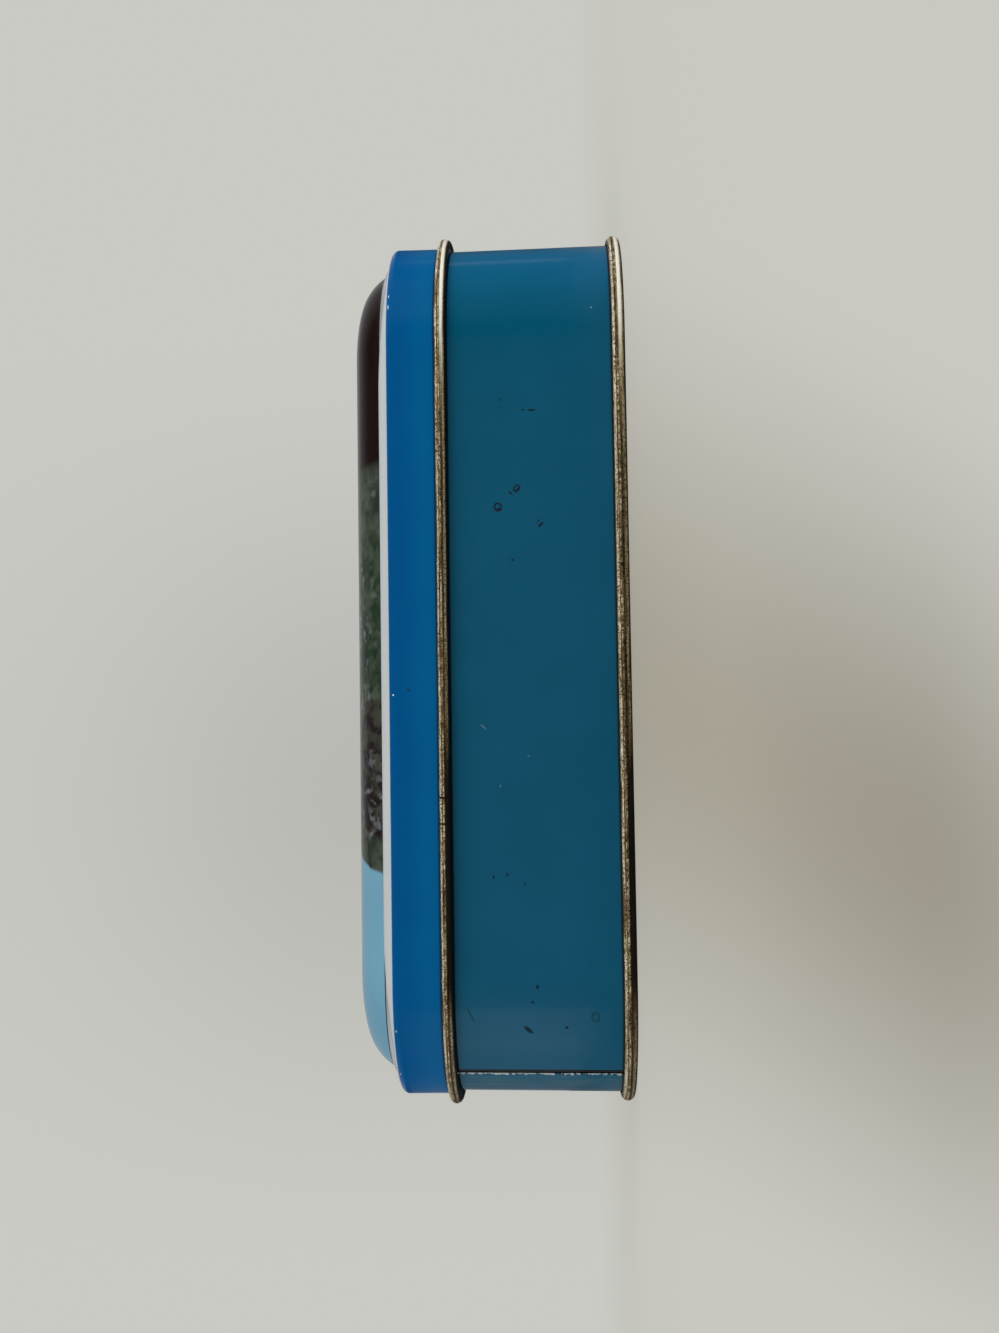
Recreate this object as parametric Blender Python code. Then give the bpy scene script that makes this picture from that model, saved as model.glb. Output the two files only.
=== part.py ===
"""A slip-lid toffee tin of thin tinplate, about 166 mm long, 115 mm wide and 50 mm high.

Three pressed and folded pieces, as such a tin is made:
  body_wall     one strip bent round a rounded rectangle, its two ends hooked into each other in a
                lock seam near one corner, its mouth hemmed inward and its foot flanged outward
  bottom_plate  a pressed plate with a raised panel, its rim rolled round the flange of the wall
  lid           one drawn sheet: embossed panel, flat border, rounded edge, skirt and an outward curl

The tin stands on its bottom seam with the lid up. X runs along its length, Y across it, Z up.
Lengths are in metres and angles in degrees.
"""

import math

import bmesh
import bpy

# Sheet and clearances
SHEET = 0.00028
SEAT_GAP = 0.0003
LOCK_GAP = 0.0001

# Body wall, measured over its outside just above the bottom seam
BODY_LENGTH = 0.1620
BODY_WIDTH = 0.1112
CORNER_RADIUS = 0.0240
RIM_HEIGHT = 0.0432
WALL_LEAN = 0.00050
HEM_DEPTH = 0.0030
HEM_GAP = 0.0001
FLANGE_BEND = 0.0005

# Lock seam of the body wall
LOCK_ANGLE = 47.0
LOCK_LEG = 0.0030
LOCK_JOG_TURN = 70.0
LOCK_JOG_BEND = 0.0003
LOCK_BUTT = 0.00012
LOCK_NOTCH = 0.00025
LOCK_HEM_CLEARANCE = 0.0006

# Bottom plate and its rolled seam
SEAM_HEIGHT = 0.0024
SEAM_REACH = 0.00165
BOTTOM_RISE = 0.0013
BOTTOM_STEP_TURN = 65.0
BOTTOM_STEP_BEND = 0.0007

# Lid
CURL_DIAMETER = 0.0021
CURL_TURN = 288.0
LID_OVERLAP = 0.0112
LID_EDGE_BEND = 0.0020
PANEL_INSET = 0.0044
PANEL_RISE = 0.0059
PANEL_FOOT_TURN = 60.0
PANEL_FOOT_BEND = 0.0008
PANEL_CROWN_TURN = 20.0
PANEL_CROWN_BEND = 0.0200

# Facets
CORNER_STEPS = 9
LOCK_CORNER_STEPS = 27
BEND_STEP = 24.0
CURL_STEP = 32.0
HEM_STEP = 45.0
PANEL_STEPS = 4
SMOOTH_LIMIT = 40.0

# Paint and metal as the photograph shows them, linear colours
LID_BLUE = (0.0, 0.09, 0.24, 1.0)
BODY_TEAL = (0.008, 0.075, 0.13, 1.0)
TINPLATE = (0.30, 0.27, 0.21, 1.0)


def clear_scene():
    """Remove everything that the scene starts with."""
    for thing in list(bpy.data.objects):
        bpy.data.objects.remove(thing, do_unlink=True)


def finish_material(name, color, roughness, metallic):
    """Return a Principled material."""
    material = bpy.data.materials.new(name)
    material.use_nodes = True
    shader = material.node_tree.nodes["Principled BSDF"]
    shader.inputs["Base Color"].default_value = color
    shader.inputs["Roughness"].default_value = roughness
    shader.inputs["Metallic"].default_value = metallic
    return material


class SheetPath:
    """The section of a folded sheet, traced along its middle as a press brake would fold it.

    Each station holds the point on the middle of the sheet and the heading there. A positive bend
    turns to the left of the way that the path runs.
    """

    def __init__(self, start, heading):
        self.point = start
        self.heading = math.radians(heading)
        self.stations = [(start, self.heading)]

    def run(self, length, steps=1):
        """Go straight on, with this many stations."""
        x, z = self.point
        for k in range(1, steps + 1):
            gone = length * k / steps
            self.point = (x + gone * math.cos(self.heading), z + gone * math.sin(self.heading))
            self.stations.append((self.point, self.heading))
        return self

    def bend(self, turn, radius, step=BEND_STEP, steps=None):
        """Turn through an angle on a round of this radius, measured at the middle of the sheet."""
        steps = steps or max(2, math.ceil(abs(turn) / step))
        side = math.copysign(1.0, turn)
        x, z = self.point
        centre_x = x - side * radius * math.sin(self.heading)
        centre_z = z + side * radius * math.cos(self.heading)
        start = self.heading
        for k in range(1, steps + 1):
            heading = start + math.radians(turn) * k / steps
            self.point = (
                centre_x + side * radius * math.sin(heading),
                centre_z - side * radius * math.cos(heading),
            )
            self.stations.append((self.point, heading))
        self.heading = start + math.radians(turn)
        return self

    def faces(self):
        """Return the points of the left face and of the right face of the sheet."""
        left = []
        right = []
        for (x, z), heading in self.stations:
            across_x = -math.sin(heading) * SHEET / 2
            across_z = math.cos(heading) * SHEET / 2
            left.append((x + across_x, z + across_z))
            right.append((x - across_x, z - across_z))
        return left, right


def wall_offset(z):
    """Return how far the outer face of the wall stands outside the outline of its foot."""
    return -WALL_LEAN * z / RIM_HEIGHT


def corner_centres():
    """Return the corner centres, anticlockwise from the one at +X +Y, with their first angles."""
    half_x = BODY_LENGTH / 2 - CORNER_RADIUS
    half_y = BODY_WIDTH / 2 - CORNER_RADIUS
    return [(half_x, half_y, 0.0), (-half_x, half_y, 90.0), (-half_x, -half_y, 180.0), (half_x, -half_y, 270.0)]


def corner_point(centre, angle, offset):
    """Return a point on a corner of the outline that lies this far outside the wall's foot."""
    radius = max(CORNER_RADIUS + offset, SHEET)
    pull = min(CORNER_RADIUS + offset - radius, 0.0)
    side_x = math.copysign(1.0, centre[0])
    side_y = math.copysign(1.0, centre[1])
    x = centre[0] + side_x * pull + radius * math.cos(math.radians(angle))
    y = centre[1] + side_y * pull + radius * math.sin(math.radians(angle))
    return x, y


def corner_stations(centre):
    """Return the (corner, angle) stations of one corner."""
    return [(centre, centre[2] + 90.0 * k / CORNER_STEPS) for k in range(CORNER_STEPS + 1)]


def closed_outline():
    """Return the stations of the whole rounded rectangle."""
    return [station for centre in corner_centres() for station in corner_stations(centre)]


def add_loop(mesh, stations, offset, z):
    """Add one ring of vertices round the outline."""
    loop = []
    for centre, angle in stations:
        x, y = corner_point(centre, angle, offset)
        loop.append(mesh.verts.new((x, y, z)))
    return loop


def bridge(mesh, ring_a, ring_b, closed):
    """Join two rows of vertices by quads."""
    count = len(ring_a)
    for k in range(count if closed else count - 1):
        n = (k + 1) % count
        mesh.faces.new((ring_a[k], ring_a[n], ring_b[n], ring_b[k]))


def make_object(name, mesh, material):
    """Turn a bmesh into an object with outward normals and smooth rounds."""
    bmesh.ops.recalc_face_normals(mesh, faces=mesh.faces)
    data = bpy.data.meshes.new(name)
    mesh.to_mesh(data)
    mesh.free()
    data.shade_smooth()
    data.set_sharp_from_angle(angle=math.radians(SMOOTH_LIMIT))
    data.materials.append(material)
    piece = bpy.data.objects.new(name, data)
    bpy.context.scene.collection.objects.link(piece)
    return piece


def press_sheet(name, path, material):
    """Sweep a section round the outline and close both of its faces over the middle."""
    left, right = path.faces()
    mesh = bmesh.new()
    stations = closed_outline()
    rings = [add_loop(mesh, stations, *point) for point in left + right[::-1]]
    for ring_a, ring_b in zip(rings, rings[1:]):
        bridge(mesh, ring_a, ring_b, closed=True)
    mesh.faces.new(rings[0])
    mesh.faces.new(rings[-1])
    return make_object(name, mesh, material)


def step_run(rise, turn, bends):
    """Return the straight between two bends that together climb this rise."""
    lost = bends * (1 - math.cos(math.radians(turn)))
    return (rise - lost) / math.sin(math.radians(turn))


def make_bottom_plate():
    """The raised panel steps down inside the wall and the rim rolls out, up and back over its flange."""
    middle = SHEET / 2
    roll_bend = (SEAM_HEIGHT - SHEET) / 2
    roll_centre = SEAM_REACH - SEAM_HEIGHT / 2
    inside = wall_offset(0.0) - SHEET - SEAT_GAP
    step_turn = math.radians(BOTTOM_STEP_TURN)
    straight = step_run(BOTTOM_RISE, BOTTOM_STEP_TURN, 2 * BOTTOM_STEP_BEND)
    step_width = 2 * BOTTOM_STEP_BEND * math.sin(step_turn) + straight * math.cos(step_turn)
    start = inside - step_width
    path = SheetPath((start, BOTTOM_RISE + middle), 0.0)
    path.bend(-BOTTOM_STEP_TURN, BOTTOM_STEP_BEND)
    path.run(straight)
    path.bend(BOTTOM_STEP_TURN, BOTTOM_STEP_BEND)
    path.run(roll_centre - path.point[0])
    path.bend(180.0, roll_bend)
    path.run(path.point[0] - SEAT_GAP)
    return press_sheet("bottom_plate", path, finish_material("bare_tinplate", TINPLATE, 0.35, 1.0))


def hem_round():
    """Return the radius of the rim's outer round, where the wall folds over into its hem."""
    return (SHEET + HEM_GAP) / 2 + SHEET / 2


def lid_skirt_offset():
    """Return where the middle of the lid's skirt stands, clear of the wall at its lowest point."""
    return wall_offset(RIM_HEIGHT - LID_OVERLAP) + SEAT_GAP + SHEET / 2


def lid_top():
    """Return the height of the upper face of the lid's border.

    The rim of the wall seats inside the round edge of the lid, a clearance away from it.
    """
    reach = LID_EDGE_BEND - SHEET / 2 - SEAT_GAP - hem_round()
    aside = wall_offset(RIM_HEIGHT) - hem_round() - (lid_skirt_offset() - LID_EDGE_BEND)
    if aside <= 0 or reach <= 0:
        return RIM_HEIGHT + SEAT_GAP + SHEET
    rise = math.sqrt(reach**2 - aside**2)
    return RIM_HEIGHT - hem_round() - rise + LID_EDGE_BEND + SHEET / 2


def make_lid():
    """Trace the lid from the edge of its flat panel out over the border and down to the curl."""
    skirt = lid_skirt_offset()
    border = lid_top() - SHEET / 2
    foot = skirt + SHEET / 2 - PANEL_INSET
    foot_turn = math.radians(PANEL_FOOT_TURN)
    crown_turn = math.radians(PANEL_CROWN_TURN)
    bends_rise = PANEL_FOOT_BEND * (1 - math.cos(foot_turn)) + PANEL_CROWN_BEND * (1 - math.cos(crown_turn))
    shoulder_bend = (PANEL_RISE - bends_rise) / (math.cos(crown_turn) - math.cos(foot_turn))
    run = PANEL_CROWN_BEND * math.sin(crown_turn) + PANEL_FOOT_BEND * math.sin(foot_turn)
    run += shoulder_bend * (math.sin(foot_turn) - math.sin(crown_turn))
    path = SheetPath((foot - run, border + PANEL_RISE), 0.0)
    path.bend(-PANEL_CROWN_TURN, PANEL_CROWN_BEND, steps=PANEL_STEPS)
    path.bend(PANEL_CROWN_TURN - PANEL_FOOT_TURN, shoulder_bend, steps=PANEL_STEPS)
    path.bend(PANEL_FOOT_TURN, PANEL_FOOT_BEND)
    path.run(skirt - LID_EDGE_BEND - path.point[0])
    path.bend(-90.0, LID_EDGE_BEND)
    curl_bend = (CURL_DIAMETER - SHEET) / 2
    path.run(path.point[1] - (RIM_HEIGHT - LID_OVERLAP + CURL_DIAMETER / 2))
    path.bend(CURL_TURN, curl_bend, step=CURL_STEP)
    return press_sheet("lid", path, finish_material("lid_blue_paint", LID_BLUE, 0.3, 0.0))


def wall_section():
    """Trace the wall from the tip of its flange up to the hem, and return its two faces.

    The third value is the number of the station at the foot of the straight wall.
    """
    lean = math.degrees(math.atan(WALL_LEAN / RIM_HEIGHT))
    hem_bend = (SHEET + HEM_GAP) / 2
    flange_level = SEAM_HEIGHT / 2
    flange_tip = SEAM_REACH - SHEET - SEAT_GAP
    climb = 90.0 + lean
    bend_width = FLANGE_BEND * math.sin(math.radians(climb))
    wall_middle = wall_offset(flange_level) - SHEET / 2
    path = SheetPath((flange_tip, flange_level), 180.0)
    path.run(flange_tip - wall_middle - bend_width)
    path.bend(-(180.0 - climb), FLANGE_BEND)
    foot = len(path.stations) - 1
    top = RIM_HEIGHT - SHEET / 2 - hem_bend
    path.run((top - path.point[1]) / math.cos(math.radians(lean)))
    path.bend(180.0, hem_bend, step=HEM_STEP)
    path.run(HEM_DEPTH)
    outer, inner = path.faces()[1], path.faces()[0]
    return outer, inner, foot


def wall_point(face, z):
    """Return the point of a straight wall face at this height."""
    (low_x, low_z), (high_x, high_z) = face
    share = (z - low_z) / (high_z - low_z)
    return low_x + share * (high_x - low_x), z


def lock_seam_paths():
    """Return the two hooks of the lock seam, seen from above.

    The first value of a point is its way along the wall from the groove and the second is its
    depth below the outer face, as a negative number. Four layers lie over each other: the outer
    hook, the tongue of the inner hook, the tongue of the outer hook and the inner hook.
    """
    layer = SHEET + LOCK_GAP
    skin = -SHEET / 2
    jog = math.radians(LOCK_JOG_TURN)
    jog_run = step_run(3 * layer, LOCK_JOG_TURN, 2 * LOCK_JOG_BEND)
    jog_width = 2 * LOCK_JOG_BEND * math.sin(jog) + jog_run * math.cos(jog)
    fold_centre = layer + SHEET / 2
    under = fold_centre + LOCK_LEG
    facet = CORNER_RADIUS * math.radians(90.0 / LOCK_CORNER_STEPS)
    leg_steps = math.ceil(LOCK_LEG / facet)
    inner_hook = SheetPath((-jog_width, skin), 0.0)
    inner_hook.bend(-LOCK_JOG_TURN, LOCK_JOG_BEND)
    inner_hook.run(jog_run)
    inner_hook.bend(LOCK_JOG_TURN, LOCK_JOG_BEND)
    inner_hook.run(under, steps=math.ceil(under / facet))
    inner_hook.bend(180.0, layer, step=HEM_STEP)
    inner_hook.run(LOCK_LEG, steps=leg_steps)
    outer_hook = SheetPath((fold_centre, skin), 180.0)
    outer_hook.bend(180.0, layer, step=HEM_STEP)
    outer_hook.run(LOCK_LEG, steps=leg_steps)
    return inner_hook, outer_hook


def open_outline(first_along, last_along):
    """Return the stations from one side of the lock seam all the way round to its other side."""
    corners = corner_centres()
    seam_corner = corners[2]
    groove = seam_corner[2] + 90.0 - LOCK_ANGLE
    first = groove + math.degrees(first_along / CORNER_RADIUS)
    last = groove + math.degrees(last_along / CORNER_RADIUS)
    fine = [seam_corner[2] + 90.0 * k / LOCK_CORNER_STEPS for k in range(LOCK_CORNER_STEPS + 1)]
    stations = [(seam_corner, first)]
    stations += [(seam_corner, angle) for angle in fine if angle > first]
    for centre in (corners[3], corners[0], corners[1]):
        stations += corner_stations(centre)
    stations += [(seam_corner, angle) for angle in fine if angle < last]
    stations.append((seam_corner, last))
    return stations, groove


def add_column(mesh, station, section):
    """Add the vertices of a section at one place of the outline."""
    column = []
    for offset, z in section:
        x, y = corner_point(*station, offset)
        column.append(mesh.verts.new((x, y, z)))
    return column


def skin_columns(mesh, column_a, column_b):
    """Join two columns of one closed section."""
    bridge(mesh, column_a, column_b, closed=True)


def add_hook(mesh, centre, groove, root, path, flip):
    """Carry the wall's edge on along a hook of the lock seam, and close its end.

    root holds the vertices at the outer low, outer high, inner high and inner low corners.
    """
    left, right = path.faces()
    outer, inner = (right, left) if flip else (left, right)
    heights = (root[0].co.z, root[1].co.z, root[2].co.z, root[3].co.z)
    previous = root
    for (out_u, out_v), (in_u, in_v) in list(zip(outer, inner))[1:]:
        column = []
        for (along, depth), z in zip(((out_u, out_v), (out_u, out_v), (in_u, in_v), (in_u, in_v)), heights):
            angle = groove - math.degrees(along / CORNER_RADIUS)
            x, y = corner_point(centre, angle, wall_offset(z) + depth)
            column.append(mesh.verts.new((x, y, z)))
        skin_columns(mesh, previous, column)
        previous = column
    mesh.faces.new(previous)


def make_body_wall():
    """Sweep the wall round from one side of the lock seam to the other and hook its ends together."""
    outer, inner, foot = wall_section()
    outer_wall = (outer[foot], outer[foot + 1])
    inner_wall = (inner[foot], inner[foot + 1])
    hem_low = RIM_HEIGHT - SHEET / 2 - (SHEET + HEM_GAP) / 2 - HEM_DEPTH
    hook_low = SEAM_HEIGHT + LOCK_NOTCH
    hook_high = hem_low - LOCK_HEM_CLEARANCE
    levels = (hook_low - LOCK_NOTCH, hook_low, hook_high, hook_high + LOCK_NOTCH)
    outer_levels = [wall_point(outer_wall, z) for z in levels]
    inner_levels = [wall_point(inner_wall, z) for z in levels]
    outer_section = outer[: foot + 1] + outer_levels + outer[foot + 1 :]
    inner_section = inner[: foot + 1] + inner_levels + inner[foot + 1 :]
    count = len(outer_section)
    section = outer_section + inner_section[::-1]

    inner_hook, outer_hook = lock_seam_paths()
    jog_start = inner_hook.stations[0][0][0]
    fold_start = outer_hook.stations[0][0][0]
    stations, groove = open_outline(-jog_start, -fold_start)
    seam_corner = corner_centres()[2]

    mesh = bmesh.new()
    columns = [add_column(mesh, station, section) for station in stations]
    for column_a, column_b in zip(columns, columns[1:]):
        skin_columns(mesh, column_a, column_b)

    def facing(index):
        """Return the number in the section of the inner point that faces this outer one."""
        return 2 * count - 1 - index

    low_notch, low, high, high_notch = range(foot + 1, foot + 5)
    ends = (
        (columns[0], inner_hook, LOCK_BUTT / 2, False),
        (columns[-1], outer_hook, -LOCK_BUTT / 2, True),
    )
    for column, hook, butt, flip in ends:
        angle = groove + math.degrees(butt / CORNER_RADIUS)
        lower = list(range(0, low_notch + 1)) + list(range(facing(low_notch), 2 * count))
        upper = list(range(high_notch, facing(high_notch) + 1))
        for part in (lower, upper):
            near = [column[k] for k in part]
            far = add_column(mesh, (seam_corner, angle), [section[k] for k in part])
            skin_columns(mesh, near, far)
            mesh.faces.new(far)
        for a, b in ((low_notch, low), (high, high_notch)):
            mesh.faces.new((column[a], column[b], column[facing(b)], column[facing(a)]))
        root = [column[low], column[high], column[facing(high)], column[facing(low)]]
        add_hook(mesh, seam_corner, groove, root, hook, flip)
    return make_object("body_wall", mesh, finish_material("body_teal_paint", BODY_TEAL, 0.25, 0.0))


def main():
    """Build the tin."""
    clear_scene()
    make_bottom_plate()
    make_body_wall()
    make_lid()


main()
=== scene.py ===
"""Dresses the slip-lid toffee tin: folded sheets with smooth bends, printed enamel and tarnished tinplate.

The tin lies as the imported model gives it, in metres: X along its length, Y across it, Z up.
The camera is rolled so that the tin's length runs up the picture, with the lid at the left.
"""

from __future__ import annotations

import logging
import math
from collections.abc import Sequence
from dataclasses import dataclass, field
from enum import Enum

import bmesh
import bpy
from mathutils import Matrix, Vector, noise


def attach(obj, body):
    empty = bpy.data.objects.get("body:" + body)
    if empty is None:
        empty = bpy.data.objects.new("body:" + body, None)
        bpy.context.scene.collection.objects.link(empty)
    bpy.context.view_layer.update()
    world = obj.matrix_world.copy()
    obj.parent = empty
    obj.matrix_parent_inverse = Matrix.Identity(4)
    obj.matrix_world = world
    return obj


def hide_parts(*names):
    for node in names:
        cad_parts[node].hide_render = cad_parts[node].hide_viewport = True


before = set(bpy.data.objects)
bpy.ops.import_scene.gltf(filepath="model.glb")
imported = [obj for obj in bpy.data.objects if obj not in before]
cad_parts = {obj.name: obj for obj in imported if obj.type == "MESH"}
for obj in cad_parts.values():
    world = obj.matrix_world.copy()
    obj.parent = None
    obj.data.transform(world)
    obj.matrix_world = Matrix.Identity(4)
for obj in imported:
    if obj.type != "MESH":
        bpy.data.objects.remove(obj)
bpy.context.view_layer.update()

logging.basicConfig(level=logging.INFO, format="%(name)s: %(message)s")
log = logging.getLogger("toffee_tin")

MM = 0.001
PAINT_WANDER = 0.05 * MM
SMOOTH_ANGLE = math.radians(35)
# A Mix node has one set of sockets for numbers and one for colours: two inputs and the result.
MIX_NUMBERS = (2, 3, 0)
MIX_COLOURS = (6, 7, 2)
Colour = tuple[float, float, float, float]
Socket = bpy.types.NodeSocket
Amount = float | Socket
Profile = list[tuple[float, float]]


def ink(red: int, green: int, blue: int) -> Colour:
    """Turn a printed colour, as eight-bit display values, into the linear colour of a shader.

    Args:
        red: Red from 0 to 255.
        green: Green from 0 to 255.
        blue: Blue from 0 to 255.

    Returns:
        The linear colour with full opacity.
    """

    def linear(value: int) -> float:
        """Return one channel in linear light."""
        share = value / 255
        return share / 12.92 if share <= 0.04045 else ((share + 0.055) / 1.055) ** 2.4

    return (linear(red), linear(green), linear(blue), 1.0)


class Skin(Enum):
    """The finishes that the faces of a folded sheet can carry, as material slots."""

    PRINTED = 0
    BEAD = 1
    INSIDE = 2


class MarkKind(Enum):
    """The kinds of small marks in the print."""

    DARK_SPOT = "dark spot"
    RING = "ring"
    PALE_CHIP = "pale chip"


class NodeBench:
    """A node tree with short ways to add the nodes that the finishes and the surroundings use."""

    def __init__(self, tree: bpy.types.NodeTree) -> None:
        """Take over a tree.

        Args:
            tree: The node tree.
        """
        self.tree = tree

    def add(self, kind: str, **settings: object) -> bpy.types.Node:
        """Add a node and set its properties.

        Args:
            kind: The node's type name without its "ShaderNode" start.
            settings: Properties of the node.

        Returns:
            The new node.
        """
        node = self.tree.nodes.new("ShaderNode" + kind)
        for key, value in settings.items():
            setattr(node, key, value)
        return node

    def feed(self, socket: Socket, value: object) -> None:
        """Link a socket to an input, or write a plain value into it.

        Args:
            socket: The input.
            value: A socket or a value.
        """
        if isinstance(value, bpy.types.NodeSocket):
            self.tree.links.new(value, socket)
        else:
            socket.default_value = value

    def axes(self, vector: Socket) -> tuple[Socket, Socket, Socket]:
        """Return the X, Y and Z of a vector."""
        node = self.add("SeparateXYZ")
        self.feed(node.inputs[0], vector)
        return node.outputs[0], node.outputs[1], node.outputs[2]

    def math(self, operation: str, a: Amount, b: Amount = 0.0, c: Amount = 0.0) -> Socket:
        """Return the result of a Math node.

        Args:
            operation: The node's operation.
            a: First amount.
            b: Second amount.
            c: Third amount.

        Returns:
            The result's socket.
        """
        node = self.add("Math", operation=operation)
        for socket, value in zip(node.inputs, (a, b, c)):
            self.feed(socket, value)
        return node.outputs[0]

    def rise(self, value: Amount, low: float, high: float) -> Socket:
        """Return a smooth step from 0 at one value to 1 at another.

        Args:
            value: What is measured.
            low: Where the step starts; it may lie above the end for a falling step.
            high: Where the step ends.

        Returns:
            The step's socket.
        """
        start, end, first, last = (low, high, 0.0, 1.0) if low <= high else (high, low, 1.0, 0.0)
        node = self.add("MapRange", interpolation_type="SMOOTHSTEP")
        for key, amount in (("Value", value), ("From Min", start), ("From Max", end)):
            self.feed(node.inputs[key], amount)
        self.feed(node.inputs["To Min"], first)
        self.feed(node.inputs["To Max"], last)
        return node.outputs["Result"]

    def past(self, value: Amount, mark: float, step: tuple[float, float]) -> Socket:
        """Return a smooth step whose two ends are measured from a mark."""
        return self.rise(value, mark + step[0], mark + step[1])

    def both(self, a: Amount, b: Amount) -> Socket:
        """Return the product of two masks."""
        return self.math("MULTIPLY", a, b)

    def either(self, masks: Sequence[Amount]) -> Amount:
        """Return the largest of several masks."""
        result = masks[0]
        for mask in masks[1:]:
            result = self.math("MAXIMUM", result, mask)
        return result

    def blend(self, mask: Amount, under: object, over: object) -> Socket:
        """Lay one colour over another.

        Args:
            mask: 0 shows the lower colour and 1 the upper one.
            under: The lower colour.
            over: The upper colour.

        Returns:
            The blended colour's socket.
        """
        return self.mixed("RGBA", MIX_COLOURS, mask, (under, over))

    def level(self, mask: Amount, at_zero: Amount, at_one: Amount) -> Socket:
        """Blend two plain amounts, such as two roughnesses."""
        return self.mixed("FLOAT", MIX_NUMBERS, mask, (at_zero, at_one))

    def mixed(
        self, data_type: str, sockets: tuple[int, int, int], mask: Amount, values: Sequence[object]
    ) -> Socket:
        """Return the result of a Mix node.

        Args:
            data_type: The kind of data that it mixes.
            sockets: The numbers of its two inputs and of its result for that kind.
            mask: 0 shows the first value and 1 the second one.
            values: The two values.

        Returns:
            The result's socket.
        """
        node = self.add("Mix", data_type=data_type)
        self.feed(node.inputs[0], mask)
        for number, value in zip(sockets, values):
            self.feed(node.inputs[number], value)
        return node.outputs[sockets[-1]]


class ShaderBench(NodeBench):
    """A material with one Principled shader, patterned in the tin's own frame."""

    def __init__(self, name: str) -> None:
        """Start the material.

        Args:
            name: The material's name.
        """
        self.material = bpy.data.materials.new(name)
        self.material.use_nodes = True
        super().__init__(self.material.node_tree)
        self.shader = self.tree.nodes["Principled BSDF"]
        self._place: Socket | None = None

    def place(self) -> Socket:
        """Return the point on the tin, in metres in its own frame."""
        if self._place is None:
            self._place = self.add("TexCoord").outputs["Object"]
        return self._place

    def speckle(
        self, grain: float, detail: float = 3.0, stretch: Vector | None = None, warp: float = 0.0
    ) -> Socket:
        """Return noise with grains of a real size.

        Args:
            grain: Size of one grain in metres.
            detail: Octaves of the noise.
            stretch: How many times longer the grains are along each axis.
            warp: Distortion of the noise.

        Returns:
            The noise's socket, around one half.
        """
        node = self.add("TexNoise")
        self.feed(node.inputs["Scale"], 1.0)
        self.feed(node.inputs["Detail"], detail)
        self.feed(node.inputs["Distortion"], warp)
        sizes = stretch or Vector((1.0, 1.0, 1.0))
        mapping = self.add("Mapping", vector_type="TEXTURE")
        self.feed(mapping.inputs["Vector"], self.place())
        mapping.inputs["Scale"].default_value = sizes * grain
        self.feed(node.inputs["Vector"], mapping.outputs[0])
        return node.outputs["Fac"]

    def within(self, place: Vector, half: Vector, turn: float = 0.0, ragged: float = 0.0) -> Socket:
        """Return how far a point lies from the middle of a blot, as a share of its half sizes.

        Args:
            place: The blot's middle.
            half: Its half sizes along its own axes.
            turn: How far it is turned about Y, in degrees.
            ragged: How far its outline wanders, in metres.

        Returns:
            0 at the middle and 1 on the outline.
        """
        mapping = self.add("Mapping", vector_type="TEXTURE")
        self.feed(mapping.inputs["Vector"], self.ragged_place(ragged) if ragged else self.place())
        mapping.inputs["Location"].default_value = place
        mapping.inputs["Rotation"].default_value = (0.0, math.radians(turn), 0.0)
        mapping.inputs["Scale"].default_value = half
        length = self.add("VectorMath", operation="LENGTH")
        self.feed(length.inputs[0], mapping.outputs[0])
        return length.outputs["Value"]

    def ragged_place(self, reach: float) -> Socket:
        """Return the point on the tin, moved about by fine noise.

        Args:
            reach: The largest move in metres.

        Returns:
            The moved point's socket.
        """
        wander = self.add("TexNoise")
        self.feed(wander.inputs["Vector"], self.place())
        self.feed(wander.inputs["Scale"], 1 / (4 * reach))
        centre = self.add("VectorMath", operation="SUBTRACT")
        self.feed(centre.inputs[0], wander.outputs["Color"])
        centre.inputs[1].default_value = (0.5, 0.5, 0.5)
        move = self.add("VectorMath", operation="MULTIPLY_ADD")
        self.feed(move.inputs[0], centre.outputs[0])
        move.inputs[1].default_value = (2 * reach, 2 * reach, 2 * reach)
        self.feed(move.inputs[2], self.place())
        return move.outputs[0]

    def edge_axes(self) -> tuple[Socket, Socket, Socket]:
        """Return the X, Y and Z of the point, moved about as the borders of paint and dirt wander."""
        return self.axes(self.ragged_place(PAINT_WANDER))

    def relief(self, height: Amount, depth: float, under: Socket | None = None) -> Socket:
        """Return a surface normal that follows a height.

        Args:
            height: The height, from 0 to 1.
            depth: What a height of 1 stands for, in metres.
            under: A relief that lies under this one.

        Returns:
            The normal's socket.
        """
        node = self.add("Bump")
        node.inputs["Distance"].default_value = depth
        self.feed(node.inputs["Height"], height)
        if under is not None:
            self.feed(node.inputs["Normal"], under)
        return node.outputs[0]

    def finish(
        self, colour: object, roughness: Amount, normal: Socket | None, **plain: float
    ) -> bpy.types.Material:
        """Set the shader's inputs.

        Args:
            colour: The base colour or its socket.
            roughness: The roughness or its socket.
            normal: The relief's socket.
            plain: Other inputs that are the same all over, by their names with underscores.

        Returns:
            The finished material.
        """
        self.feed(self.shader.inputs["Base Color"], colour)
        self.feed(self.shader.inputs["Roughness"], roughness)
        if normal is not None:
            self.feed(self.shader.inputs["Normal"], normal)
        for key, value in plain.items():
            self.shader.inputs[key.replace("_", " ")].default_value = value
        return self.material


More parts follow.
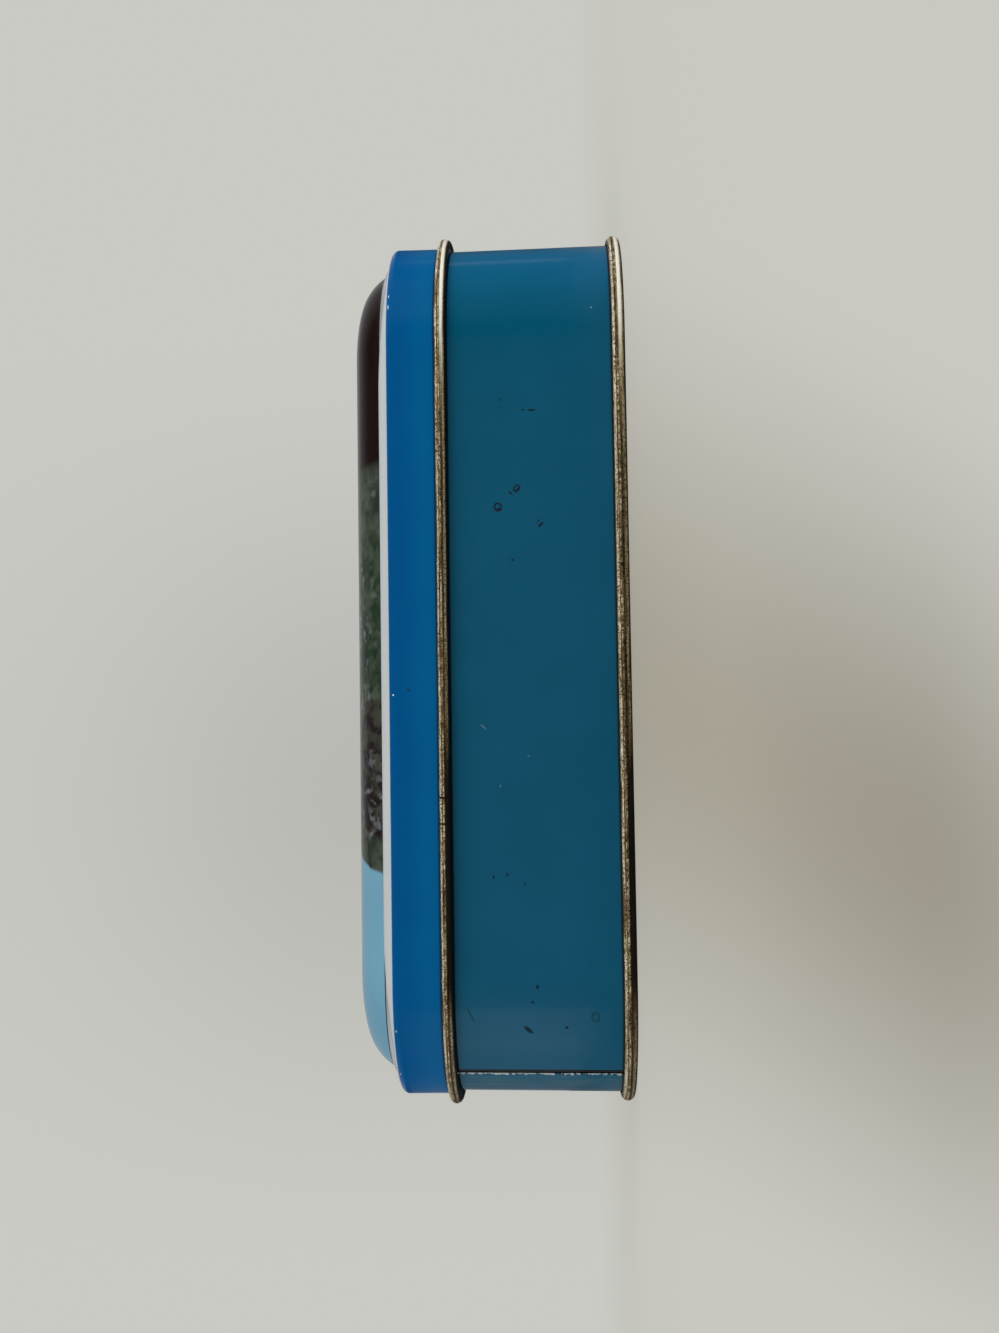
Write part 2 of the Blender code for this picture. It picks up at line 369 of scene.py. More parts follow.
@dataclass(frozen=True)
class Mark:
    """One small mark in the print of the long front side, placed by its X and Z in millimetres."""

    kind: MarkKind
    x: float
    z: float
    long: float
    wide: float
    turn: float = 0.0
    depth_y: float = -55.0
    strength: float = 1.0
    half_depth: float = 6.0
    ragged: float = 0.12
    soft_edge: tuple[float, float] = (1.15, 0.75)
    ring_line: float = 0.8
    ring_edge: tuple[float, float] = (0.34, 0.12)

    def mask(self, bench: ShaderBench) -> Socket:
        """Return where the mark shows.

        Args:
            bench: The material that gets it.

        Returns:
            The mask's socket.
        """
        middle = Vector((self.x, self.depth_y, self.z)) * MM
        half = Vector((self.long / 2, self.half_depth, self.wide / 2)) * MM
        reach = bench.within(middle, half, turn=self.turn, ragged=self.ragged * MM)
        if self.kind is MarkKind.RING:
            off_line = bench.math("ABSOLUTE", bench.math("SUBTRACT", reach, self.ring_line))
            return bench.both(bench.rise(off_line, *self.ring_edge), self.strength)
        return bench.both(bench.rise(reach, *self.soft_edge), self.strength)


def mark_masks(bench: ShaderBench, marks: Sequence[Mark]) -> tuple[Amount, Amount]:
    """Return where the dark marks show and where the pale chips show.

    Args:
        bench: The material that gets them.
        marks: All marks of the print.

    Returns:
        The masks of the dark marks and of the pale ones.
    """
    pale = [mark.mask(bench) for mark in marks if mark.kind is MarkKind.PALE_CHIP]
    dark = [mark.mask(bench) for mark in marks if mark.kind is not MarkKind.PALE_CHIP]
    return bench.either(dark), bench.either(pale)


def enamel_scuffs(bench: ShaderBench, longer: float) -> Socket:
    """Return faint scuffs that run along the tin.

    Args:
        bench: The enamel.
        longer: How many times longer than wide they are.

    Returns:
        The mask's socket.
    """
    grains = bench.speckle(0.5 * MM, detail=5.0, stretch=Vector((longer, 1.0, 1.0)))
    return bench.both(bench.rise(grains, 0.62, 0.80), 0.4)


def enamel_waves(bench: ShaderBench) -> Socket:
    """Return the relief of a printed sheet that isn't quite flat."""
    return bench.relief(bench.speckle(2.2 * MM, detail=2.0), 0.010 * MM)


@dataclass(frozen=True)
class BeadFinish:
    """Bare tinplate on the rolled beads: painted highlight lines in pitted brown tarnish, brightest at one
    end, and painted shade at the bottom bead's foot and under the lid's curl.
    """

    bright: Colour = ink(255, 252, 240)
    grey: Colour = ink(206, 197, 160)
    brown: Colour = ink(128, 104, 66)
    # The darkest tone: the pits and grooves, the curl's cracks and the painted shade.
    grime_and_shade: Colour = ink(22, 17, 10)
    # Painted highlight: the beads turn brighter between these places towards the +X end.
    highlit_end: tuple[float, float] = (0.028, 0.066)
    # Painted shade: the beads are darker along a stretch of the -X half.
    stretch_shade_from: tuple[float, float] = (-0.008, -0.026)
    stretch_shade_to: tuple[float, float] = (-0.066, -0.054)
    lid_edge: float = 0.0320
    curl: float = 0.0021
    seam: float = 0.0024
    # Painted highlight lines: the share up the bead that each follows, and how far it reaches to either
    # side.
    upper_line: tuple[float, float] = (0.84, 0.17)
    middle_line: tuple[float, float] = (0.60, 0.15)
    lower_line: tuple[float, float] = (0.20, 0.27)
    highlight_line: tuple[float, float] = (0.36, 0.27)
    cracks: tuple[float, ...] = (-0.0244, -0.0290)
    crack_edge: tuple[float, float] = (0.192 * MM, 0.096 * MM)
    crack_front: tuple[float, float] = (-0.054, -0.056)
    crack_foot: tuple[float, float] = (-1.0 * MM, 0.0)
    # Painted shade at the bottom bead's foot and on the underside of the lid's curl.
    foot_shade: tuple[float, float] = (0.45 * MM, 0.12 * MM)
    curl_shade_from: tuple[float, float] = (-1.0 * MM, -0.5 * MM)
    curl_shade_to: tuple[float, float] = (0.42 * MM, 0.22 * MM)
    pit: float = 0.24 * MM
    patch: float = 1.4 * MM
    score: float = 0.22 * MM
    lump: float = 0.5 * MM

    def share_up(self, bench: ShaderBench) -> Socket:
        """Return how far up its bead a point lies, from 0 at the lower edge to 1 at the upper one.

        Args:
            bench: The bead's material.

        Returns:
            The share's socket.
        """
        height = bench.edge_axes()[2]
        on_curl = bench.math("DIVIDE", bench.math("SUBTRACT", height, self.lid_edge), self.curl)
        on_seam = bench.math("DIVIDE", height, self.seam)
        return bench.level(bench.math("GREATER_THAN", height, self.lid_edge / 2), on_seam, on_curl)

    @staticmethod
    def painted_highlight(bench: ShaderBench, share: Socket, line: tuple[float, float], strength: Amount) -> Socket:
        """Return a painted highlight: a soft line that runs along the bead.

        Args:
            bench: The bead's material.
            share: How far up the bead a point lies.
            line: The share that the line follows, and how far it reaches to either side.
            strength: How strong the line is.

        Returns:
            The mask's socket.
        """
        middle, half = line
        off_line = bench.math("ABSOLUTE", bench.math("SUBTRACT", share, middle))
        return bench.both(bench.rise(off_line, half, half * 0.3), strength)

    def shade_and_cracks(self, bench: ShaderBench) -> Socket:
        """Return the painted shade at the bottom bead's foot and under the lid's curl, and the dark lines
        of the curl's two cracks.

        Args:
            bench: The bead's material.

        Returns:
            The mask's socket.
        """
        along, across, height = bench.edge_axes()
        # Painted shade on the underside of the bottom bead, at its foot.
        foot = bench.both(bench.rise(height, *self.foot_shade), 0.8)
        # Painted shade on the underside of the lid's curl.
        curl = bench.both(
            bench.past(height, self.lid_edge, self.curl_shade_from),
            bench.past(height, self.lid_edge, self.curl_shade_to),
        )
        lines = []
        for crack in self.cracks:
            off_crack = bench.math("ABSOLUTE", bench.math("SUBTRACT", along, crack))
            lines.append(bench.rise(off_crack, *self.crack_edge))
        on_curl = bench.past(height, self.lid_edge, self.crack_foot)
        front = bench.both(bench.rise(across, *self.crack_front), on_curl)
        return bench.either([foot, curl, bench.both(bench.either(lines), front)])

    def material(self, name: str) -> bpy.types.Material:
        """Build the material.

        Args:
            name: The material's name.

        Returns:
            The material.
        """
        bench = ShaderBench(name)
        along = bench.axes(bench.place())[0]
        # Painted highlight, brighter towards the +X end.
        highlit_end = bench.rise(along, *self.highlit_end)
        # Painted shade: the beads are darker along a stretch of the -X half.
        stretch_shade = bench.both(bench.rise(along, *self.stretch_shade_from), bench.rise(along, *self.stretch_shade_to))
        share = self.share_up(bench)
        patches = bench.rise(bench.speckle(self.patch, detail=5.0), 0.38, 0.60)
        # Painted highlights: lines along each bead at fixed shares of its height.
        upper = self.painted_highlight(bench, share, self.upper_line, bench.level(patches, 0.76, 0.90))
        middle = self.painted_highlight(bench, share, self.middle_line, bench.level(patches, 0.42, 0.70))
        lower = self.painted_highlight(bench, share, self.lower_line, bench.level(stretch_shade, 0.60, 0.0))
        wear_and_highlight = self.painted_highlight(bench, share, self.highlight_line, highlit_end)
        pitted = bench.rise(bench.speckle(self.pit, detail=3.0), 0.47, 0.60)
        pits = bench.both(pitted, bench.level(wear_and_highlight, 0.75, 0.12))
        lines = bench.speckle(self.score, detail=2.0, stretch=Vector((40.0, 40.0, 1.0)))
        grooves = bench.both(bench.rise(lines, 0.50, 0.62), bench.level(wear_and_highlight, 0.45, 0.05))
        clean = bench.both(bench.math("SUBTRACT", 1.0, pits), bench.math("SUBTRACT", 1.0, grooves))
        plain = bench.level(stretch_shade, 0.20, 0.08)
        tone = bench.both(bench.either([upper, middle, lower, wear_and_highlight, plain]), clean)
        colour = bench.blend(bench.rise(tone, 0.02, 0.40), self.grime_and_shade, self.brown)
        colour = bench.blend(bench.rise(tone, 0.34, 0.74), colour, self.grey)
        # Painted highlight: the brightest lines turn almost white towards the +X end.
        shine = bench.both(bench.rise(tone, 0.62, 0.95), bench.level(highlit_end, 0.45, 1.0))
        colour = bench.blend(shine, colour, self.bright)
        # Painted shade at the bottom bead's foot and under the lid's curl, and the dark cracks of the curl.
        shade_and_cracks = self.shade_and_cracks(bench)
        colour = bench.blend(shade_and_cracks, colour, self.grime_and_shade)
        rough = bench.level(bench.either([pits, shade_and_cracks]), bench.level(wear_and_highlight, 0.40, 0.20), 0.62)
        lumps = bench.relief(bench.speckle(self.lump, detail=4.0), 0.03 * MM)
        scored = bench.relief(lines, 0.03 * MM, under=lumps)
        sunk = bench.relief(bench.math("SUBTRACT", 1.0, pits), 0.04 * MM, under=scored)
        bench.feed(bench.shader.inputs["Metallic"], bench.level(tone, 0.60, 0.15))
        return bench.finish(colour, rough, sunk)


@dataclass(frozen=True)
class InsideFinish:
    """The plain inner side of the tinplate: satin, with faint rolling lines and a few dull stains."""

    metal: Colour = ink(198, 192, 176)
    stain: Colour = ink(150, 136, 110)
    rolling_line: float = 0.25 * MM
    stain_size: float = 9 * MM
    spot_size: float = 0.8 * MM

    def material(self, name: str) -> bpy.types.Material:
        """Build the material.

        Args:
            name: The material's name.

        Returns:
            The material.
        """
        bench = ShaderBench(name)
        lines = bench.speckle(self.rolling_line, detail=3.0, stretch=Vector((60.0, 1.0, 1.0)))
        stains = bench.rise(bench.speckle(self.stain_size, detail=5.0), 0.50, 0.72)
        spots = bench.rise(bench.speckle(self.spot_size, detail=2.0), 0.68, 0.74)
        colour = bench.blend(bench.both(stains, 0.6), self.metal, self.stain)
        colour = bench.blend(bench.both(spots, 0.5), colour, self.stain)
        rough = bench.level(bench.math("ADD", bench.both(lines, 0.3), bench.both(stains, 0.5)), 0.30, 0.48)
        return bench.finish(colour, rough, bench.relief(lines, 0.006 * MM), Metallic=1.0)


@dataclass(frozen=True)
class Groove:
    """The lock seam's groove: a point on it, the level way over the outer fold and the way inward."""

    point: Vector
    over: Vector
    inward: Vector


@dataclass(frozen=True)
class WallPrint:
    """Glossy teal enamel on the wall, with its spots, rings and scratches, chipped along the lock seam."""

    groove_at: Groove
    lean: float
    marks: tuple[Mark, ...]
    teal: Colour = ink(0, 77, 105)
    teal_light: Colour = ink(2, 80, 108)
    # Painted light: the lighter teal at the +X end.
    teal_lit: Colour = ink(0, 88, 126)
    # Painted reflection: the paler, greyer teal past the lock seam.
    seam_sheen: Colour = ink(62, 98, 104)
    spot: Colour = ink(2, 22, 32)
    chip: Colour = ink(178, 188, 190)
    # The dark of the painted shadows in the seam's groove and under the lid's curl, and of the line above
    # the bottom bead.
    groove: Colour = ink(2, 10, 16)
    lid_edge: float = 0.0320
    bead_top: float = 0.0024
    # Where the painted light at the +X end starts and ends along the wall.
    lit_end: tuple[float, float] = (0.060, 0.076)
    outer_layer: float = 0.6 * MM
    above_bead: tuple[float, float] = (1.0 * MM, 2.5 * MM)
    chips_start: float = 0.10 * MM
    chips_least: float = 0.06 * MM
    chips_wander: float = 0.40 * MM
    groove_from: tuple[float, float] = (-1.50 * MM, -1.34 * MM)
    groove_to: tuple[float, float] = (0.16 * MM, 0.10 * MM)
    # Where the painted reflection past the seam starts and ends.
    seam_sheen_from: tuple[float, float] = (0.2 * MM, 0.8 * MM)
    seam_sheen_to: tuple[float, float] = (7.0 * MM, 4.0 * MM)
    # Where the painted shadow under the lid's curl starts and ends, measured from the lid's edge.
    lid_shadow_from: tuple[float, float] = (-0.30 * MM, -0.08 * MM)
    lid_shadow_to: tuple[float, float] = (1.6 * MM, 1.2 * MM)
    # A darker line on the wall just above the bottom bead.
    dark_over_bead: tuple[float, float] = (0.35 * MM, 0.10 * MM)

    def seam_masks(self, bench: ShaderBench) -> tuple[Socket, Socket, Socket]:
        """Return the masks of the lock seam's chipped fold, the painted shadow in its groove and a streaked
        painted reflection past it.

        Args:
            bench: The wall's material.

        Returns:
            The masks of the chips, of the groove's painted shadow and of the streaked painted reflection.
        """
        _, _, height = bench.axes(bench.place())
        from_groove = bench.add("VectorMath", operation="SUBTRACT")
        bench.feed(from_groove.inputs[0], bench.place())
        from_groove.inputs[1].default_value = self.groove_at.point
        ways = []
        for direction in (self.groove_at.over, self.groove_at.inward):
            way = bench.add("VectorMath", operation="DOT_PRODUCT")
            bench.feed(way.inputs[0], from_groove.outputs[0])
            way.inputs[1].default_value = direction
            ways.append(way.outputs["Value"])
        over, inward = ways
        depth = bench.math("SUBTRACT", inward, bench.both(height, self.lean))
        ragged = bench.rise(bench.speckle(0.7 * MM, detail=4.0), 0.34, 0.66)
        reach = bench.math("MULTIPLY_ADD", ragged, self.chips_wander, self.chips_least)
        outside = bench.math("LESS_THAN", depth, self.outer_layer)
        wall = bench.both(outside, bench.rise(height, *self.above_bead))
        past_start = bench.math("GREATER_THAN", over, self.chips_start)
        chips = bench.both(bench.both(past_start, bench.math("LESS_THAN", over, reach)), wall)
        # Painted shadow in the groove.
        shadowed = bench.both(bench.rise(over, *self.groove_from), bench.rise(over, *self.groove_to))
        # A streaked painted reflection on the rounded corner past the seam.
        streaks = bench.speckle(0.5 * MM, detail=4.0, stretch=Vector((1.0, 1.0, 14.0)))
        streaked = bench.level(bench.rise(streaks, 0.40, 0.62), 0.15, 1.0)
        beside = bench.both(bench.rise(over, *self.seam_sheen_from), bench.rise(over, *self.seam_sheen_to))
        return chips, bench.both(shadowed, wall), bench.both(bench.both(beside, wall), streaked)

    def material(self, name: str) -> bpy.types.Material:
        """Build the material.

        Args:
            name: The material's name.

        Returns:
            The material.
        """
        bench = ShaderBench(name)
        cloudy = bench.speckle(14 * MM, detail=3.0)
        colour = bench.blend(bench.rise(cloudy, 0.3, 0.7), self.teal, self.teal_light)
        # Painted light: the teal turns lighter towards the +X end.
        lit_end = bench.rise(bench.axes(bench.place())[0], *self.lit_end)
        colour = bench.blend(lit_end, colour, self.teal_lit)
        grains = bench.rise(bench.speckle(0.35 * MM, detail=2.0), 0.70, 0.78)
        colour = bench.blend(bench.both(grains, 0.35), colour, self.spot)
        dark, pale = mark_masks(bench, self.marks)
        chips, groove, seam_sheen = self.seam_masks(bench)
        # Streaked painted reflection past the lock seam.
        colour = bench.blend(bench.both(seam_sheen, 0.5), colour, self.seam_sheen)
        colour = bench.blend(bench.both(dark, 0.9), colour, self.spot)
        height = bench.edge_axes()[2]
        # Painted shadow on the wall under the lid's curl.
        under_lid = bench.both(
            bench.past(height, self.lid_edge, self.lid_shadow_from),
            bench.past(height, self.lid_edge, self.lid_shadow_to),
        )
        # A darker line on the wall just above the bottom bead.
        on_bead = bench.past(height, self.bead_top, self.dark_over_bead)
        colour = bench.blend(bench.both(bench.either([under_lid, on_bead]), 0.85), colour, self.groove)
        # Painted shadow in the lock seam's groove.
        colour = bench.blend(groove, colour, self.groove)
        colour = bench.blend(bench.either([chips, bench.both(pale, 0.5)]), colour, self.chip)
        # On the wall this mask holds only wear: the chips and the dark marks.
        wear_and_highlight = bench.either([chips, dark])
        rough = bench.level(bench.either([wear_and_highlight, enamel_scuffs(bench, 9.0)]), 0.10, 0.5)
        normal = bench.relief(bench.math("SUBTRACT", 1.0, wear_and_highlight), 0.03 * MM, under=enamel_waves(bench))
        return bench.finish(colour, rough, normal, Specular_IOR_Level=0.32)


@dataclass(frozen=True)
class Hill:
    """One rounded field of colour in the lid's picture, in millimetres seen from above."""

    x: float
    y: float
    half_x: float
    half_y: float
    tone: Colour
    height: float = 47.0
    half_height: float = 1000.0


@dataclass(frozen=True)
class LidPrint:
    """The lid's enamel: blue skirt, white border and a plain landscape of rounded fields on the panel."""

    border_top: float
    marks: tuple[Mark, ...]
    blue: Colour = ink(0, 90, 142)
    blue_deep: Colour = ink(0, 79, 135)
    white: Colour = ink(184, 188, 188)
    # Painted shade in the crevice where the skirt meets the curl.
    crevice_shade: Colour = ink(4, 34, 66)
    chip: Colour = ink(222, 232, 232)
    outline: Colour = ink(30, 34, 34)
    sky: Colour = ink(104, 151, 174)
    sky_pale: Colour = ink(112, 158, 178)
    # Lilac flecks of the print, which also stand for a painted grazing sheen on the land.
    lilac_and_sheen: Colour = ink(150, 152, 164)
    leaf: Colour = ink(112, 118, 104)
    streak: Colour = ink(12, 10, 10)
    paint_line: float = 0.0428
    paint_edge: tuple[float, float] = (-0.06 * MM, 0.06 * MM)
    curl_top: float = 0.0341
    # Where the painted shade at the curl fades out above it.
    curl_crevice_shade: tuple[float, float] = (0.5 * MM, 0.2 * MM)
    skirt_inset: float = 1.0 * MM
    hills: tuple[Hill, ...] = (
        Hill(20, 8, 62, 70, ink(52, 59, 51)),
        Hill(-26, -58, 13, 20, ink(44, 53, 44)),
        Hill(-19, -60, 14.5, 22, ink(34, 26, 26)),
        Hill(8, -62, 15, 30, ink(38, 54, 40)),
        Hill(34, 44, 40, 30, ink(92, 104, 78)),
        Hill(68, -40, 33, 36, ink(30, 20, 18)),
        Hill(70, 26, 22, 20, ink(52, 42, 36)),
    )
    bushes_end: tuple[float, float] = (0.037, 0.033)
    # A dark printed outline at the panel's foot that is also painted shade there.
    outline_and_shade: tuple[float, float] = (0.05 * MM, 0.12 * MM)
    panel_edge: tuple[float, float] = (0.26 * MM, 0.34 * MM)

    def picture(self, bench: ShaderBench) -> Socket:
        """Return the colours of the panel.

        Args:
            bench: The lid's material.

        Returns:
            The picture's colour socket.
        """
        veil = bench.rise(bench.speckle(24 * MM, detail=3.0), 0.35, 0.68)
        colour = bench.blend(veil, self.sky, self.sky_pale)
        fields = []
        for hill in self.hills:
            middle = Vector((hill.x, hill.y, hill.height)) * MM
            half = Vector((hill.half_x, hill.half_y, hill.half_height)) * MM
            field_mask = bench.rise(bench.within(middle, half, ragged=1.5 * MM), 1.03, 0.97)
            colour = bench.blend(field_mask, colour, hill.tone)
            fields.append(field_mask)
        land = bench.either(fields)
        bushes = bench.both(land, bench.rise(bench.axes(bench.place())[0], *self.bushes_end))
        leaves = bench.rise(bench.speckle(2.6 * MM, detail=9.0, warp=0.4), 0.40, 0.64)
        colour = bench.blend(bench.both(bench.both(leaves, bushes), 0.24), colour, self.leaf)
        # Lilac flecks of the print, which also stand for a painted grazing sheen on the land.
        flecks = bench.rise(bench.speckle(1.8 * MM, detail=8.0, warp=0.3), 0.50, 0.74)
        zone = bench.rise(bench.speckle(9 * MM, detail=2.0), 0.47, 0.60)
        flecked = bench.both(bench.both(flecks, zone), bench.both(bushes, 0.55))
        colour = bench.blend(flecked, colour, self.lilac_and_sheen)
        brush = bench.rise(bench.speckle(1.4 * MM, detail=8.0, stretch=Vector((3.0, 1.0, 1.0))), 0.46, 0.70)
        return bench.blend(bench.both(brush, bench.both(land, 0.40)), colour, self.streak)

    def material(self, name: str) -> bpy.types.Material:
        """Build the material.

        Args:
            name: The material's name.

        Returns:
            The material.
        """
        bench = ShaderBench(name)
        height = bench.edge_axes()[2]
        upper = bench.rise(height, self.curl_top + self.skirt_inset, self.paint_line - self.skirt_inset)
        tone = bench.math("MULTIPLY_ADD", bench.speckle(12 * MM, detail=3.0), 0.5, bench.both(upper, 0.6))
        colour = bench.blend(bench.rise(tone, 0.1, 0.9), self.blue, self.blue_deep)
        # Painted shade in the crevice where the skirt meets the curl.
        at_curl = bench.past(height, self.curl_top, self.curl_crevice_shade)
        colour = bench.blend(bench.both(at_curl, 0.8), colour, self.crevice_shade)
        colour = bench.blend(bench.past(height, self.paint_line, self.paint_edge), colour, self.white)
        # A dark printed outline at the panel's foot, which is also painted shade there.
        colour = bench.blend(bench.past(height, self.border_top, self.outline_and_shade), colour, self.outline)
        panel = bench.past(height, self.border_top, self.panel_edge)
        colour = bench.blend(panel, colour, self.picture(bench))
        dark, pale = mark_masks(bench, self.marks)
        colour = bench.blend(bench.both(dark, 0.8), colour, self.outline)
        colour = bench.blend(pale, colour, self.chip)
        rough = bench.level(bench.either([dark, pale, enamel_scuffs(bench, 8.0)]), 0.14, 0.5)
        return bench.finish(colour, rough, enamel_waves(bench), Specular_IOR_Level=0.09)


@dataclass(frozen=True)
class SheetSizes:
    """What the three sheets share, in metres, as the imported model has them."""

    thickness: float = 0.00028
    gap: float = 0.0003
    length: float = 0.1620
    width: float = 0.1112
    corner_radius: float = 0.0240
    rim_height: float = 0.0432
    wall_lean: float = 0.0005
    seam_height: float = 0.0024
    seam_reach: float = 0.00165
    lid_overlap: float = 0.0112
    hem_hair: float = 0.00005

    def wall_offset(self, height: float) -> float:
        """Return how far the wall's outer face stands outside the outline of its foot."""
        return -self.wall_lean * height / self.rim_height

    def hem_round(self) -> float:
        """Return the outer radius of the rim's hem, with a hair between its two layers."""
        return self.thickness + self.hem_hair


class FoldPath:
    """The middle line of a folded sheet's section, as outward offset and height.

    A positive bend turns to the left of the way that the path runs.
    """

    def __init__(self, start: tuple[float, float], heading: float, thickness: float) -> None:
        """Start the path.

        Args:
            start: Offset and height of its first point.
            heading: Its direction in degrees, 0 outward and 90 up.
            thickness: The sheet's thickness.
        """
        self.point = start
        self.heading = math.radians(heading)
        self.thickness = thickness
        self.stations = [(start, self.heading)]

    def run(self, length: float, steps: int = 1) -> FoldPath:
        """Go straight on.

        Args:
            length: How far.
            steps: In how many steps.

        Returns:
            The path itself.
        """
        offset, height = self.point
        for step in range(1, steps + 1):
            gone = length * step / steps
            aside, up = gone * math.cos(self.heading), gone * math.sin(self.heading)
            self.point = (offset + aside, height + up)
            self.stations.append((self.point, self.heading))
        return self

    def bend(self, turn: float, radius: float, step: float = 9.0) -> FoldPath:
        """Turn on a round.

        Args:
            turn: The angle in degrees, positive to the left.
            radius: The round's radius at the middle of the sheet.
            step: The largest angle between two stations.

        Returns:
            The path itself.
        """
        steps = max(3, math.ceil(abs(turn) / step))
        side = math.copysign(1.0, turn)
        centre_offset = self.point[0] - side * radius * math.sin(self.heading)
        centre_height = self.point[1] + side * radius * math.cos(self.heading)
        start = self.heading
        for count in range(1, steps + 1):
            heading = start + math.radians(turn) * count / steps
            self.point = (
                centre_offset + side * radius * math.sin(heading),
                centre_height - side * radius * math.cos(heading),
            )
            self.stations.append((self.point, heading))
        self.heading = start + math.radians(turn)
        return self

    def faces(self) -> tuple[Profile, Profile]:
        """Return the points of the sheet's left face and of its right face."""
        left: Profile = []
        right: Profile = []
        for (offset, height), heading in self.stations:
            aside = -math.sin(heading) * self.thickness / 2
            above = math.cos(heading) * self.thickness / 2
            left.append((offset + aside, height + above))
            right.append((offset - aside, height - above))
        return left, right


@dataclass(frozen=True)
class Station:
    """One place on the rounded outline of the wall's foot, with its outward direction."""

    x: float
    y: float
    out_x: float
    out_y: float


@dataclass
class Outline:
    """The rounded rectangle that every sheet is bent round."""

    sizes: SheetSizes
    corner_steps: int = 30
    side_step: float = 0.0016
    fine_corner_steps: int = 54

    def corners(self) -> list[tuple[float, float, float]]:
        """Return the corners' centres and first angles, anticlockwise from the one at +X +Y."""
        half_x = self.sizes.length / 2 - self.sizes.corner_radius
        half_y = self.sizes.width / 2 - self.sizes.corner_radius
        signs = ((1, 1), (-1, 1), (-1, -1), (1, -1))
        return [(x * half_x, y * half_y, 90.0 * k) for k, (x, y) in enumerate(signs)]

    def on_corner(self, corner: int, angle: float) -> Station:
        """Return the station at an angle of a corner.

        Args:
            corner: The corner's number.
            angle: The direction from its centre in degrees.

        Returns:
            The station.
        """
        centre_x, centre_y, _ = self.corners()[corner]
        out_x = math.cos(math.radians(angle))
        out_y = math.sin(math.radians(angle))
        radius = self.sizes.corner_radius
        return Station(centre_x + radius * out_x, centre_y + radius * out_y, out_x, out_y)

    def corner(self, corner: int) -> list[Station]:
        """Return the stations of one whole corner."""
        first = self.corners()[corner][2]
        steps = self.corner_steps
        return [self.on_corner(corner, first + 90.0 * k / steps) for k in range(steps + 1)]

    def side(self, corner: int) -> list[Station]:
        """Return the stations between a corner and the next one, without their ends."""
        start = self.corner(corner)[-1]
        end = self.corner((corner + 1) % 4)[0]
        count = round(math.hypot(end.x - start.x, end.y - start.y) / self.side_step)
        found = []
        for k in range(1, count):
            share = k / count
            x = start.x + share * (end.x - start.x)
            y = start.y + share * (end.y - start.y)
            found.append(Station(x, y, start.out_x, start.out_y))
        return found

    def closed(self) -> list[Station]:
        """Return the stations of the whole outline."""
        return [station for corner in range(4) for station in self.corner(corner) + self.side(corner)]


@dataclass(frozen=True)
class Handling:
    """How years of use have pushed the sheets a little out of true.

    Towards both ends of the tin the lid's border and the rim under it have sagged.
    """

    sway: float = 0.00010
    sway_length: float = 0.045
    dent: float = 0.00005
    dent_length: float = 0.0045
    sag: float = 0.00115
    sag_along: tuple[float, float] = (0.048, 0.074)
    sag_inset: tuple[float, float] = (-0.0044, -0.0018)
    sag_height: tuple[float, float] = (0.0408, 0.0444)

    def sunk(self, along: float, offset: float, height: float) -> float:
        """Return how far a point has sagged.

        Args:
            along: Its place along the tin.
            offset: How far it lies outside the outline of the wall's foot.
            height: Its height.

        Returns:
            The way down in metres.
        """

        def step(value: float, limits: tuple[float, float]) -> float:
            """Return a smooth step between two limits."""
            share = min(1.0, max(0.0, (value - limits[0]) / (limits[1] - limits[0])))
            return share * share * (3 - 2 * share)

        low, high = self.sag_height
        lifted = min(1.0, max(0.0, (height - low) / (high - low)))
        return self.sag * lifted * step(abs(along), self.sag_along) * step(offset, self.sag_inset)

    def moved(self, point: Vector, out: Vector, on_bead: bool) -> Vector:
        """Return where a point of the sheet ends up.

        Args:
            point: The point of the true form.
            out: The outward direction there.
            on_bead: Whether it lies on a rolled bead, which shows small dents as well.

        Returns:
            The moved point.
        """
        flat = Vector((point.x, point.y, 0.0))
        push = self.sway * noise.noise(flat / self.sway_length)
        if on_bead:
            push += self.dent * noise.noise(point / self.dent_length)
        return point + out * push


class SheetMesh:
    """Gathers the faces of one folded sheet."""

    def __init__(self, handling: Handling) -> None:
        """Start an empty mesh.

        Args:
            handling: How the sheet was pushed out of true.
        """
        self.mesh = bmesh.new()
        self.handling = handling

    def point(
        self, station: Station, offset: float, height: float, on_bead: bool = False
    ) -> bmesh.types.BMVert:
        """Add one vertex.

        Args:
            station: The place on the outline.
            offset: How far outside it.
            height: How far up.
            on_bead: Whether it lies on a rolled bead.

        Returns:
            The vertex.
        """
        out = Vector((station.out_x, station.out_y, 0.0))
        height -= self.handling.sunk(station.x, offset, height)
        true_place = Vector((station.x, station.y, height)) + out * offset
        return self.mesh.verts.new(self.handling.moved(true_place, out, on_bead))

    def bridge(self, row_a: list, row_b: list, closed: bool, skins: Sequence[Skin] | Skin) -> None:
        """Join two rows of vertices by quads.

        Args:
            row_a: One row.
            row_b: The other row.
            closed: Whether the last pair joins the first one.
            skins: The finish of all quads, or of each.
        """
        count = len(row_a)
        for k in range(count if closed else count - 1):
            following = (k + 1) % count
            face = self.mesh.faces.new((row_a[k], row_a[following], row_b[following], row_b[k]))
            face.material_index = (skins if isinstance(skins, Skin) else skins[k]).value

    def close(self, row: list, skin: Skin) -> None:
        """Close a row of vertices by one face."""
        self.mesh.faces.new(row).material_index = skin.value

    def made(self, name: str) -> bpy.types.Object:
        """Turn the gathered faces into an object with smooth rounds.

        Args:
            name: The object's name.

        Returns:
            The object.
        """
        bmesh.ops.recalc_face_normals(self.mesh, faces=self.mesh.faces)
        data = bpy.data.meshes.new(name)
        self.mesh.to_mesh(data)
        self.mesh.free()
        data.shade_smooth()
        data.set_sharp_from_angle(angle=SMOOTH_ANGLE)
        piece = bpy.data.objects.new(name, data)
        bpy.context.scene.collection.objects.link(piece)
        return piece


